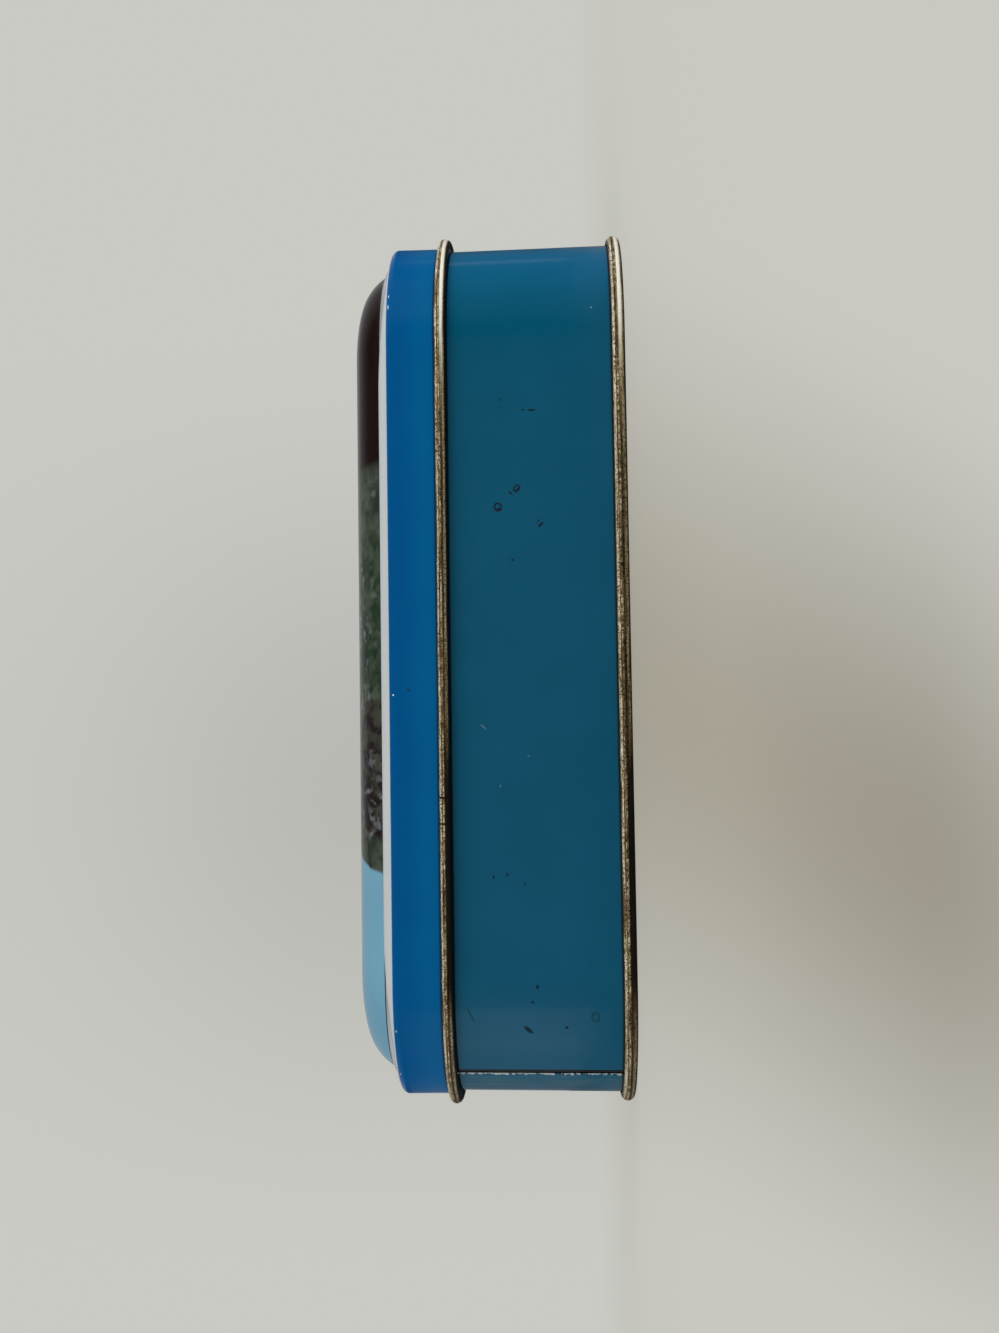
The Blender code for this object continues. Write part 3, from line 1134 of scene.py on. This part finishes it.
@dataclass
class PressedSheet:
    """A sheet pressed from one piece, with the same section all round its outline."""

    name: str
    node: str
    body: str
    slot_name: str
    sizes: SheetSizes
    outline: Outline
    handling: Handling

    def section(self) -> tuple[FoldPath, int]:
        """Return the section and the number of the station where its bead starts."""
        raise NotImplementedError

    def skins(self) -> tuple[Skin, Skin]:
        """Return the finishes of the left and right faces away from the bead."""
        raise NotImplementedError

    def build(self) -> bpy.types.Object:
        """Sweep the section round the outline and close both faces over the middle.

        Returns:
            The sheet's object.
        """
        path, bead_start = self.section()
        left, right = path.faces()
        left_skin, right_skin = self.skins()
        stations = self.outline.closed()
        sheet = SheetMesh(self.handling)
        count = len(left)
        rows = []
        for k, (offset, height) in enumerate(left + right[::-1]):
            on_bead = (k if k < count else 2 * count - 1 - k) >= bead_start
            rows.append([sheet.point(station, offset, height, on_bead) for station in stations])
        for k, (row_a, row_b) in enumerate(zip(rows, rows[1:])):
            number = k if k < count else 2 * count - 2 - k
            skin = left_skin if k < count - 1 else right_skin
            if k >= count - 1 and number >= bead_start - 1:
                skin = Skin.BEAD
            sheet.bridge(row_a, row_b, True, skin)
        sheet.close(rows[0], left_skin)
        sheet.close(rows[-1], right_skin)
        return sheet.made(self.name)

    def fit(self, piece: bpy.types.Object, materials: Sequence[bpy.types.Material]) -> bpy.types.Object:
        """Dress the sheet and let it stand for its node.

        Args:
            piece: The sheet's object.
            materials: Its finishes, in the order of Skin.

        Returns:
            The same object.
        """
        for material in materials:
            piece.data.materials.append(material)
        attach(piece, self.body)
        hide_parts(self.node)
        log.info("%s: %d faces, rides on %s", self.name, len(piece.data.polygons), self.body)
        return piece


@dataclass
class BottomPlate(PressedSheet):
    """The bottom: a raised panel, and a rim that rolls out, up and back over the wall's flange."""

    rise: float = 0.0013
    step_turn: float = 65.0
    step_bend: float = 0.0007

    def section(self) -> tuple[FoldPath, int]:
        """Return the section and the number of the station where its bead starts."""
        sheet = self.sizes.thickness
        turn = math.radians(self.step_turn)
        slope = (self.rise - 2 * self.step_bend * (1 - math.cos(turn))) / math.sin(turn)
        step_width = 2 * self.step_bend * math.sin(turn) + slope * math.cos(turn)
        start = self.sizes.wall_offset(0.0) - sheet - self.sizes.gap - step_width
        path = FoldPath((start, self.rise + sheet / 2), 0.0, sheet)
        path.bend(-self.step_turn, self.step_bend)
        path.run(slope)
        path.bend(self.step_turn, self.step_bend)
        path.run(self.sizes.seam_reach - self.sizes.seam_height / 2 - path.point[0], steps=2)
        bead_start = len(path.stations)
        path.bend(180.0, (self.sizes.seam_height - sheet) / 2)
        path.run(path.point[0] - self.sizes.gap, steps=2)
        return path, bead_start

    def skins(self) -> tuple[Skin, Skin]:
        """Return the finishes of the left and right faces away from the bead."""
        return Skin.INSIDE, Skin.INSIDE


@dataclass
class Lid(PressedSheet):
    """The lid: embossed panel, flat border, round edge, skirt and an outward curl at its foot."""

    edge_bend: float = 0.0020
    curl_diameter: float = 0.0021
    curl_turn: float = 288.0
    panel_inset: float = 0.0044
    panel_rise: float = 0.0059
    foot_turn: float = 60.0
    foot_bend: float = 0.0008
    crown_turn: float = 20.0
    crown_bend: float = 0.0200

    def skirt_offset(self) -> float:
        """Return where the middle of the skirt stands, clear of the wall."""
        low = self.sizes.rim_height - self.sizes.lid_overlap
        return self.sizes.wall_offset(low) + self.sizes.gap + self.sizes.thickness / 2

    def border_top(self) -> float:
        """Return the height of the border's upper face, with the rim seated inside the round edge."""
        sizes = self.sizes
        hem = sizes.hem_round()
        reach = self.edge_bend - sizes.thickness / 2 - sizes.gap - hem
        aside = sizes.wall_offset(sizes.rim_height) - hem - (self.skirt_offset() - self.edge_bend)
        rise = math.sqrt(reach**2 - aside**2)
        return sizes.rim_height - hem - rise + self.edge_bend + sizes.thickness / 2

    def section(self) -> tuple[FoldPath, int]:
        """Return the section and the number of the station where its bead starts."""
        sheet = self.sizes.thickness
        skirt = self.skirt_offset()
        border = self.border_top() - sheet / 2
        foot = math.radians(self.foot_turn)
        crown = math.radians(self.crown_turn)
        bend_rise = self.foot_bend * (1 - math.cos(foot)) + self.crown_bend * (1 - math.cos(crown))
        shoulder_bend = (self.panel_rise - bend_rise) / (math.cos(crown) - math.cos(foot))
        run = self.crown_bend * math.sin(crown) + self.foot_bend * math.sin(foot)
        run += shoulder_bend * (math.sin(foot) - math.sin(crown))
        panel_edge = skirt + sheet / 2 - self.panel_inset - run
        path = FoldPath((panel_edge, border + self.panel_rise), 0.0, sheet)
        path.bend(-self.crown_turn, self.crown_bend, step=3.0)
        path.bend(self.crown_turn - self.foot_turn, shoulder_bend, step=4.0)
        path.bend(self.foot_turn, self.foot_bend)
        path.run(skirt - self.edge_bend - path.point[0], steps=2)
        path.bend(-90.0, self.edge_bend)
        curl_centre = self.sizes.rim_height - self.sizes.lid_overlap + self.curl_diameter / 2
        path.run(path.point[1] - curl_centre, steps=6)
        bead_start = len(path.stations) - 1
        path.bend(self.curl_turn, (self.curl_diameter - sheet) / 2)
        return path, bead_start

    def skins(self) -> tuple[Skin, Skin]:
        """Return the finishes of the left and right faces away from the bead."""
        return Skin.PRINTED, Skin.INSIDE


@dataclass
class BodyWall(PressedSheet):
    """The wall: one strip whose ends hook into each other, with a hemmed rim and a flanged foot."""

    hem_depth: float = 0.0030
    hem_gap: float = 0.0001
    flange_bend: float = 0.0005
    lock_corner: int = 2
    lock_angle: float = 47.0
    lock_leg: float = 0.0030
    lock_gap: float = 0.0001
    jog_turn: float = 70.0
    jog_bend: float = 0.0003
    butt: float = 0.00012
    notch: float = 0.00025
    hem_clearance: float = 0.0006
    least_step: float = 0.3

    def groove_angle(self) -> float:
        """Return the angle of the lock seam's groove about its corner, in degrees."""
        return self.outline.corners()[self.lock_corner][2] + 90.0 - self.lock_angle

    def groove(self) -> Groove:
        """Return where the groove stands."""
        angle = math.radians(self.groove_angle())
        station = self.outline.on_corner(self.lock_corner, self.groove_angle())
        over = Vector((math.sin(angle), -math.cos(angle), 0.0))
        inward = Vector((-station.out_x, -station.out_y, 0.0))
        return Groove(Vector((station.x, station.y, 0.0)), over, inward)

    def wall_faces(self) -> tuple[Profile, Profile, int]:
        """Trace the wall from its flange up to its hem.

        Returns:
            The outer face, the inner face and the number of the station at the wall's foot.
        """
        sheet = self.sizes.thickness
        lean = math.atan(self.sizes.wall_lean / self.sizes.rim_height)
        level = self.sizes.seam_height / 2
        tip = self.sizes.seam_reach - sheet - self.sizes.gap
        climb = 90.0 + math.degrees(lean)
        bend_width = self.flange_bend * math.sin(math.radians(climb))
        path = FoldPath((tip, level), 180.0, sheet)
        path.run(tip - (self.sizes.wall_offset(level) - sheet / 2) - bend_width)
        path.bend(-(180.0 - climb), self.flange_bend, step=15.0)
        foot = len(path.stations) - 1
        hem_bend = (sheet + self.hem_gap) / 2
        path.run((self.sizes.rim_height - sheet / 2 - hem_bend - path.point[1]) / math.cos(lean))
        path.bend(180.0, hem_bend, step=18.0)
        path.run(self.hem_depth)
        left, right = path.faces()
        return right, left, foot

    def hooks(self) -> tuple[FoldPath, FoldPath]:
        """Return the inner and outer hooks of the lock seam as way along the wall and depth."""
        sheet = self.sizes.thickness
        layer = sheet + self.lock_gap
        turn = math.radians(self.jog_turn)
        jog_run = (3 * layer - 2 * self.jog_bend * (1 - math.cos(turn))) / math.sin(turn)
        jog_width = 2 * self.jog_bend * math.sin(turn) + jog_run * math.cos(turn)
        fold_centre = layer + sheet / 2
        facet = self.sizes.corner_radius * math.radians(90.0 / self.outline.fine_corner_steps)
        under = fold_centre + self.lock_leg
        inner = FoldPath((-jog_width, -sheet / 2), 0.0, sheet)
        inner.bend(-self.jog_turn, self.jog_bend, step=14.0)
        inner.run(jog_run)
        inner.bend(self.jog_turn, self.jog_bend, step=14.0)
        inner.run(under, steps=math.ceil(under / facet))
        inner.bend(180.0, layer, step=18.0)
        inner.run(self.lock_leg, steps=math.ceil(self.lock_leg / facet))
        outer = FoldPath((fold_centre, -sheet / 2), 180.0, sheet)
        outer.bend(180.0, layer, step=18.0)
        outer.run(self.lock_leg, steps=math.ceil(self.lock_leg / facet))
        return inner, outer

    def open_stations(self, first_along: float, last_along: float) -> list[Station]:
        """Return the stations from one side of the lock seam round to its other side.

        Args:
            first_along: Way from the groove to the first station.
            last_along: Way from the groove to the last one.

        Returns:
            The stations.
        """
        corner = self.lock_corner
        radius = self.sizes.corner_radius
        first = self.groove_angle() + math.degrees(first_along / radius)
        last = self.groove_angle() + math.degrees(last_along / radius)
        start = self.outline.corners()[corner][2]
        steps = self.outline.fine_corner_steps
        fine = [start + 90.0 * k / steps for k in range(steps + 1)]
        after = [angle for angle in fine if angle > first + self.least_step]
        before = [angle for angle in fine if angle < last - self.least_step]
        around = [self.outline.on_corner(corner, angle) for angle in [first, *after]]
        around += self.outline.side(corner)
        for further in (1, 2, 3):
            other = (corner + further) % 4
            around += self.outline.corner(other) + self.outline.side(other)
        return around + [self.outline.on_corner(corner, angle) for angle in [*before, last]]

    def build(self) -> bpy.types.Object:
        """Sweep the wall round from one side of the lock seam to the other and hook its ends.

        Returns:
            The wall's object.
        """
        outer, inner, foot = self.wall_faces()
        low = self.sizes.seam_height
        high = self.hook_top()
        levels = [low, low + self.notch, high, high + self.notch]
        outer, inner = (
            face[: foot + 1] + [self.on_face(face, foot, z) for z in levels] + face[foot + 1 :]
            for face in (outer, inner)
        )
        count = len(outer)
        section = outer + inner[::-1]
        skins = [Skin.PRINTED] * (count - 1) + [Skin.INSIDE] * (count + 1)
        inner_hook, outer_hook = self.hooks()
        stations = self.open_stations(-inner_hook.stations[0][0][0], -outer_hook.stations[0][0][0])
        sheet = SheetMesh(self.handling)
        columns = [[sheet.point(station, *place) for place in section] for station in stations]
        for column_a, column_b in zip(columns, columns[1:]):
            sheet.bridge(column_a, column_b, True, skins)
        lowest = foot + 1
        half_butt = math.degrees(self.butt / 2 / self.sizes.corner_radius)
        ends = ((columns[0], inner_hook, half_butt, False), (columns[-1], outer_hook, -half_butt, True))
        for column, hook, aside, flip in ends:
            angle = self.groove_angle() + aside
            butt_station = self.outline.on_corner(self.lock_corner, angle)
            self.close_ends(sheet, column, section, skins, butt_station, lowest)
            self.add_hook(sheet, column, hook, lowest, flip)
        return sheet.made(self.name)

    @staticmethod
    def on_face(face: Profile, foot: int, height: float) -> tuple[float, float]:
        """Return the point of a straight wall face at a height.

        Args:
            face: The face's points.
            foot: The number of its lowest straight point.
            height: The height.

        Returns:
            The point.
        """
        (low_offset, low), (high_offset, high) = face[foot], face[foot + 1]
        return low_offset + (height - low) / (high - low) * (high_offset - low_offset), height

    def close_ends(
        self,
        sheet: SheetMesh,
        column: list,
        section: Profile,
        skins: list[Skin],
        station: Station,
        lowest: int,
    ) -> None:
        """Carry the flange and the hem on to the butt joint, and close the notches beside the hook.

        Args:
            sheet: The wall's mesh.
            column: The last column before the seam.
            section: The section's points.
            skins: The finish of each of its faces.
            station: Where the butt joint is.
            lowest: The number of the section's point at the lower notch.
        """
        total = len(section)
        facing = [total - 1 - k for k in range(total)]
        lower = list(range(lowest + 1)) + list(range(facing[lowest], total))
        upper = list(range(lowest + 3, facing[lowest + 3] + 1))
        for part in (lower, upper):
            near = [column[k] for k in part]
            far = [sheet.point(station, *section[k]) for k in part]
            sheet.bridge(near, far, True, [skins[k] for k in part])
            sheet.close(far, Skin.INSIDE)
        for a, b in ((lowest, lowest + 1), (lowest + 2, lowest + 3)):
            sheet.close([column[a], column[b], column[facing[b]], column[facing[a]]], Skin.INSIDE)

    def add_hook(
        self, sheet: SheetMesh, column: list, hook: FoldPath, lowest: int, flip: bool
    ) -> None:
        """Carry the wall's edge on along its hook, and close the hook's end.

        Args:
            sheet: The wall's mesh.
            column: The last column before the seam.
            hook: The hook's path.
            lowest: The number of the section's point at the lower notch.
            flip: Whether the path's right face is the outer one.
        """
        left, right = hook.faces()
        outer, inner = (right, left) if flip else (left, right)
        total = len(column)
        low, high = lowest + 1, lowest + 2
        previous = [column[low], column[high], column[total - 1 - high], column[total - 1 - low]]
        base_low, base_high = self.sizes.seam_height + self.notch, self.hook_top()
        for out_point, in_point in list(zip(outer, inner))[1:]:
            row = []
            places = (out_point, out_point, in_point, in_point)
            for (along, depth), z in zip(places, (base_low, base_high, base_high, base_low)):
                angle = self.groove_angle() - math.degrees(along / self.sizes.corner_radius)
                station = self.outline.on_corner(self.lock_corner, angle)
                row.append(sheet.point(station, self.sizes.wall_offset(z) + depth, z))
            sheet.bridge(previous, row, True, [Skin.PRINTED, Skin.INSIDE, Skin.INSIDE, Skin.INSIDE])
            previous = row
        sheet.close(previous, Skin.INSIDE)

    def hook_top(self) -> float:
        """Return the height where the hooks end under the hem."""
        return self.sizes.rim_height - self.sizes.hem_round() - self.hem_depth - self.hem_clearance


@dataclass(frozen=True)
class Lamp:
    """One soft square lamp that faces the tin and doesn't show in its gloss."""

    name: str
    place: tuple[float, float, float]
    side: float
    power: float

    def hang(self, aim_at: Vector) -> None:
        """Hang the lamp.

        Args:
            aim_at: The point that it faces.
        """
        light = bpy.data.lights.new(self.name, "AREA")
        light.size = self.side
        light.energy = self.power
        lamp = bpy.data.objects.new(self.name, light)
        lamp.location = self.place
        lamp.visible_glossy = False
        lamp.rotation_euler = (aim_at - lamp.location).to_track_quat("-Z", "Y").to_euler()
        bpy.context.scene.collection.objects.link(lamp)


@dataclass
class Studio:
    """A pale floor, soft surroundings, two soft lamps and the camera."""

    # backdrop_mid, floor_mid and floor_near are painted shadow: a soft dark wedge on the backdrop and the
    # floor in line with the camera, darkest on the floor nearest the camera.
    backdrop: Colour = ink(201, 202, 196)
    backdrop_mid: Colour = ink(184, 185, 179)
    floor_tone: Colour = ink(204, 203, 196)
    floor_mid: Colour = ink(170, 165, 151)
    floor_near: Colour = ink(159, 154, 141)
    floor_glow: float = 0.75
    far_gloss: Colour = ink(92, 92, 90)
    backdrop_dark: tuple[float, float] = (-0.04, 0.36)
    floor_dark: tuple[float, float] = (0.064, 0.40)
    floor_shift: float = 0.0075
    floor_half: float = 3.0
    floor_roughness: float = 0.9
    least_near: float = 0.035
    least_away: float = 0.2
    tone_starts: tuple[float, float] = (0.01, 0.05)
    near_ends: tuple[float, float] = (0.035, 0.11)
    fade_behind: tuple[float, float] = (-0.09, 0.26)
    fade_in_front: tuple[float, float] = (-0.7, -1.4)
    room: tuple[tuple[float, float], ...] = (
        *((-162.0, 0.60), (-152.0, 0.14), (-120.0, 0.22), (-90.0, 0.42), (-69.0, 0.72), (-34.0, 0.64)),
        *((-31.0, 0.36), (-10.0, 0.25), (14.0, 0.22), (20.0, 0.10), (28.0, 0.02), (60.0, 0.03)),
        *((90.0, 0.10), (106.0, 0.10), (110.0, 0.40), (115.0, 0.10), (150.0, 0.05), (160.0, 0.60)),
    )
    room_behind: float = 0.12
    room_top: tuple[float, float] = (0.092, 0.125)
    ceiling: float = 0.42
    ceiling_foot: float = 0.03
    ceiling_starts: tuple[float, float] = (0.13, 0.27)
    ceiling_front: tuple[float, float] = (0.88, 0.62)
    ceiling_back: tuple[float, float] = (0.0, 0.6)
    even_above: tuple[float, float] = (0.14, 0.42)
    even_share: float = 0.75
    even_aside: tuple[float, float] = (0.3, 0.0)
    sky_light: float = 0.62
    lamps: tuple[Lamp, ...] = (
        Lamp("window", (0.75, -0.42, 0.22), 0.70, 7.0),
        Lamp("fill", (-0.80, -0.50, 0.30), 0.70, 4.1),
    )
    lamps_aim: tuple[float, float, float] = (0.0, 0.0, 0.02)
    camera_place: tuple[float, float, float] = (-0.014054, -0.289332, 0.013401)
    camera_forward: tuple[float, float, float] = (0.0534, 0.997694, 0.041902)
    camera_up: tuple[float, float, float] = (0.998466, -0.052733, -0.016851)
    image_size: tuple[int, int] = (999, 1333)
    focal_pixels: float = 1325.99
    sensor: float = 36.0
    nearest: float = 0.01

    def lay_floor(self) -> None:
        """Lay the floor and let it fade into the backdrop behind the tin and far in front of it."""
        mesh = bmesh.new()
        bmesh.ops.create_grid(mesh, x_segments=8, y_segments=8, size=self.floor_half)
        data = bpy.data.meshes.new("floor")
        mesh.to_mesh(data)
        mesh.free()
        floor = bpy.data.objects.new("floor", data)
        bpy.context.scene.collection.objects.link(floor)
        bench = ShaderBench("pale_floor")
        across, away, _ = bench.axes(bench.place())
        from_camera = bench.math("SUBTRACT", across, self.camera_place[0])
        distance = bench.math("SUBTRACT", away, self.camera_place[1])
        aside = bench.math("ADD", from_camera, self.floor_shift)
        near_ratio = bench.math("DIVIDE", aside, bench.math("MAXIMUM", distance, self.least_near))
        far_ratio = bench.math("DIVIDE", from_camera, bench.math("MAXIMUM", distance, self.least_away))
        started = bench.rise(distance, *self.tone_starts)
        # Painted shadow: the floor darkens in a soft wedge in line with the camera, darkest nearest the
        # camera.
        middle_tone = bench.blend(bench.rise(distance, *self.near_ends), self.floor_near, self.floor_mid)
        near_tone = self.shaded(bench, near_ratio, self.floor_dark, middle_tone, self.floor_tone)
        near_tone = bench.blend(started, self.floor_tone, near_tone)
        far_tone = self.shaded(bench, far_ratio, self.backdrop_dark, self.backdrop_mid, self.backdrop)
        far_tone = bench.blend(started, self.backdrop, far_tone)
        far = bench.either([bench.rise(away, *self.fade_behind), bench.rise(away, *self.fade_in_front)])
        bench.finish(near_tone, self.floor_roughness, None, Specular_IOR_Level=0.0)
        rays = bench.add("LightPath").outputs
        glow = bench.add("Emission")
        tone = bench.blend(far, near_tone, far_tone)
        bench.feed(glow.inputs["Color"], bench.blend(rays["Is Camera Ray"], self.far_gloss, tone))
        direct = bench.either([rays["Is Camera Ray"], rays["Is Glossy Ray"]])
        mix = bench.add("MixShader")
        bench.feed(mix.inputs[0], bench.both(direct, bench.level(far, self.floor_glow, 1.0)))
        bench.feed(mix.inputs[1], bench.shader.outputs[0])
        bench.feed(mix.inputs[2], glow.outputs[0])
        bench.feed(bench.tree.nodes["Material Output"].inputs["Surface"], mix.outputs[0])
        data.materials.append(bench.material)

    def shaded(
        self,
        bench: NodeBench,
        ratio: Socket,
        dark: tuple[float, float],
        middle_tone: Colour | Socket,
        side_tone: Colour,
    ) -> Socket:
        """Return a painted shadow: a tone that is a little darker behind the tin than to its sides.

        Args:
            bench: The tree that gets the tone.
            ratio: How far a place lies aside for each metre that it lies away.
            dark: The ratio at the dark middle, and how far the dark reaches to either side.
            middle_tone: The tone in the middle.
            side_tone: The tone at the sides.

        Returns:
            The tone's socket.
        """
        middle, spread = dark
        aside = bench.math("ABSOLUTE", bench.math("SUBTRACT", ratio, middle))
        return bench.blend(bench.rise(aside, 0.0, spread), middle_tone, side_tone)

    def hang_sky(self) -> None:
        """Surround the tin with even light, a pale backdrop for the camera and a dimmer room for gloss."""
        world = bpy.data.worlds.new("studio_air")
        world.use_nodes = True
        bpy.context.scene.world = world
        world.node_tree.nodes.clear()
        bench = NodeBench(world.node_tree)
        even = bench.add("Background")
        bench.feed(even.inputs["Strength"], self.sky_light)
        across, away, up = bench.axes(bench.add("TexCoord").outputs["Generated"])
        ratio = bench.math("DIVIDE", across, bench.math("MAXIMUM", away, self.least_away))
        # Painted shadow: the backdrop is darker in a soft wedge behind the tin.
        back = self.shaded(bench, ratio, self.backdrop_dark, self.backdrop_mid, self.backdrop)
        above = bench.both(bench.rise(up, *self.even_above), self.even_share)
        even_part = bench.either([above, bench.rise(away, *self.even_aside)])
        back = bench.blend(even_part, back, self.backdrop)
        bearing = bench.math("ARCTAN2", across, bench.math("MULTIPLY", away, -1.0))
        room = bench.add("ValToRGB")
        bench.feed(room.inputs["Fac"], bench.math("MULTIPLY_ADD", bearing, 0.5 / math.pi, 0.5))
        stops = room.color_ramp.elements
        stops[0].position, stops[1].position = 0.0, 1.0
        stops[0].color = stops[1].color = (*[self.room_behind] * 3, 1.0)
        for angle, light in self.room:
            stops.new(0.5 + angle / 360).color = (light, light, light, 1.0)
        in_front = bench.rise(up, *self.ceiling_front)
        lit = bench.both(bench.level(bench.rise(away, *self.ceiling_back), in_front, 1.0), self.ceiling)
        ceiling = bench.level(bench.rise(up, *self.ceiling_starts), self.ceiling_foot, lit)
        gloss = bench.blend(bench.rise(up, *self.room_top), room.outputs["Color"], ceiling)
        rays = bench.add("LightPath").outputs
        shown = bench.add("Background")
        bench.feed(shown.inputs["Color"], bench.blend(rays["Is Camera Ray"], gloss, back))
        mix = bench.add("MixShader")
        seen = bench.either([rays["Is Camera Ray"], rays["Is Glossy Ray"], rays["Is Transmission Ray"]])
        bench.feed(mix.inputs[0], seen)
        bench.feed(mix.inputs[1], even.outputs[0])
        bench.feed(mix.inputs[2], shown.outputs[0])
        bench.feed(bench.add("OutputWorld").inputs["Surface"], mix.outputs[0])

    def stand_camera(self) -> None:
        """Stand the camera where the photograph was taken, rolled onto its side."""
        data = bpy.data.cameras.new("camera")
        data.sensor_fit = "AUTO"
        data.sensor_width = self.sensor
        data.lens = self.focal_pixels / max(self.image_size) * self.sensor
        data.clip_start = self.nearest
        camera = bpy.data.objects.new("camera", data)
        forward = Vector(self.camera_forward).normalized()
        right = forward.cross(Vector(self.camera_up)).normalized()
        up = right.cross(forward)
        turn = Matrix((right, up, -forward)).transposed().to_4x4()
        camera.matrix_world = Matrix.Translation(Vector(self.camera_place)) @ turn
        bpy.context.scene.collection.objects.link(camera)
        bpy.context.scene.camera = camera

    def build(self) -> None:
        """Set up the floor, the light and the camera."""
        self.lay_floor()
        self.hang_sky()
        for lamp in self.lamps:
            lamp.hang(Vector(self.lamps_aim))
        self.stand_camera()
        bpy.context.scene.view_settings.view_transform = "Standard"
        log.info("studio: floor, surroundings, %d lamps and camera", len(self.lamps))


WALL_MARKS = (
    Mark(MarkKind.DARK_SPOT, 44.2, 16.8, 1.5, 0.42, turn=90),
    Mark(MarkKind.DARK_SPOT, 44.25, 18.4, 0.8, 0.26, turn=90),
    Mark(MarkKind.DARK_SPOT, 46.2, 22.4, 0.5, 0.35),
    Mark(MarkKind.RING, 30.15, 19.7, 1.5, 1.15, turn=40),
    Mark(MarkKind.DARK_SPOT, 30.0, 19.5, 0.8, 0.6, turn=40),
    Mark(MarkKind.DARK_SPOT, 29.3, 20.8, 1.0, 0.4, turn=-50),
    Mark(MarkKind.RING, 26.9, 23.1, 1.6, 1.5),
    Mark(MarkKind.DARK_SPOT, 26.4, 22.9, 1.2, 0.75, turn=80),
    Mark(MarkKind.DARK_SPOT, 23.6, 15.5, 1.3, 0.5, turn=45),
    Mark(MarkKind.DARK_SPOT, 24.3, 15.9, 0.6, 0.35, turn=-30),
    Mark(MarkKind.DARK_SPOT, 17.4, 20.6, 0.45, 0.45),
    Mark(MarkKind.DARK_SPOT, -38.5, 24.8, 0.55, 0.4),
    Mark(MarkKind.DARK_SPOT, -38.1, 22.4, 0.6, 0.4),
    Mark(MarkKind.DARK_SPOT, -39.8, 19.3, 0.4, 0.35),
    Mark(MarkKind.DARK_SPOT, -57.6, 17.4, 0.7, 0.6),
    Mark(MarkKind.DARK_SPOT, -60.3, 18.3, 0.55, 0.5),
    Mark(MarkKind.DARK_SPOT, -62.5, 29.2, 3.2, 0.3, turn=-25, strength=0.6),
    Mark(MarkKind.DARK_SPOT, -65.3, 19.1, 2.0, 0.7, turn=-48),
    Mark(MarkKind.DARK_SPOT, -64.9, 12.4, 0.6, 0.5),
    Mark(MarkKind.RING, -63.0, 7.3, 2.0, 1.5, strength=0.5),
    Mark(MarkKind.PALE_CHIP, 62.7, 5.9, 0.3, 0.3),
    Mark(MarkKind.PALE_CHIP, -17.4, 18.3, 0.5, 0.12, turn=60),
    Mark(MarkKind.PALE_CHIP, -12.2, 26.2, 1.4, 0.12, turn=-50),
    Mark(MarkKind.PALE_CHIP, -22.6, 23.4, 0.6, 0.12, turn=30),
)

LID_MARKS = (
    Mark(MarkKind.PALE_CHIP, 66.0, 42.45, 0.5, 0.14, strength=0.8),
    Mark(MarkKind.PALE_CHIP, 63.8, 42.45, 0.9, 0.16, strength=0.8),
    Mark(MarkKind.PALE_CHIP, -6.3, 42.1, 0.34, 0.28),
    Mark(MarkKind.DARK_SPOT, -5.4, 39.4, 0.8, 0.35, turn=-40),
    Mark(MarkKind.PALE_CHIP, -65.4, 42.4, 0.4, 0.16, strength=0.8),
    Mark(MarkKind.PALE_CHIP, -74.2, 42.4, 0.4, 0.16, depth_y=-48.0, strength=0.7),
    Mark(MarkKind.DARK_SPOT, -43.2, 44.5, 0.4, 0.4, depth_y=-52.0),
)


@dataclass
class ToffeeTin:
    """The whole tin: bottom plate, wall and lid."""

    sizes: SheetSizes = field(default_factory=SheetSizes)
    handling: Handling = field(default_factory=Handling)

    def build(self) -> None:
        """Build, dress and place the three sheets."""
        outline = Outline(self.sizes)
        bead = BeadFinish().material("beaded_tinplate")
        inside = InsideFinish().material("inside_tinplate")
        common = {"sizes": self.sizes, "outline": outline, "handling": self.handling}
        bottom = BottomPlate("rolled_bottom", "bottom_plate", "tin", "bare_tinplate", **common)
        bottom.fit(bottom.build(), (inside, bead, inside))
        wall = BodyWall("seamed_wall", "body_wall", "tin", "body_paint", **common)
        lean = self.sizes.wall_lean / self.sizes.rim_height
        teal = WallPrint(groove_at=wall.groove(), lean=lean, marks=WALL_MARKS)
        wall.fit(wall.build(), (teal.material("teal_print"), bead, inside))
        lid = Lid("printed_lid", "lid", "lid", "lid_paint", **common)
        blue = LidPrint(border_top=lid.border_top(), marks=LID_MARKS)
        lid.fit(lid.build(), (blue.material("lid_print"), bead, inside))


def main() -> None:
    """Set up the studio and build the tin."""
    Studio().build()
    ToffeeTin().build()


if __name__ == "__main__":
    main()
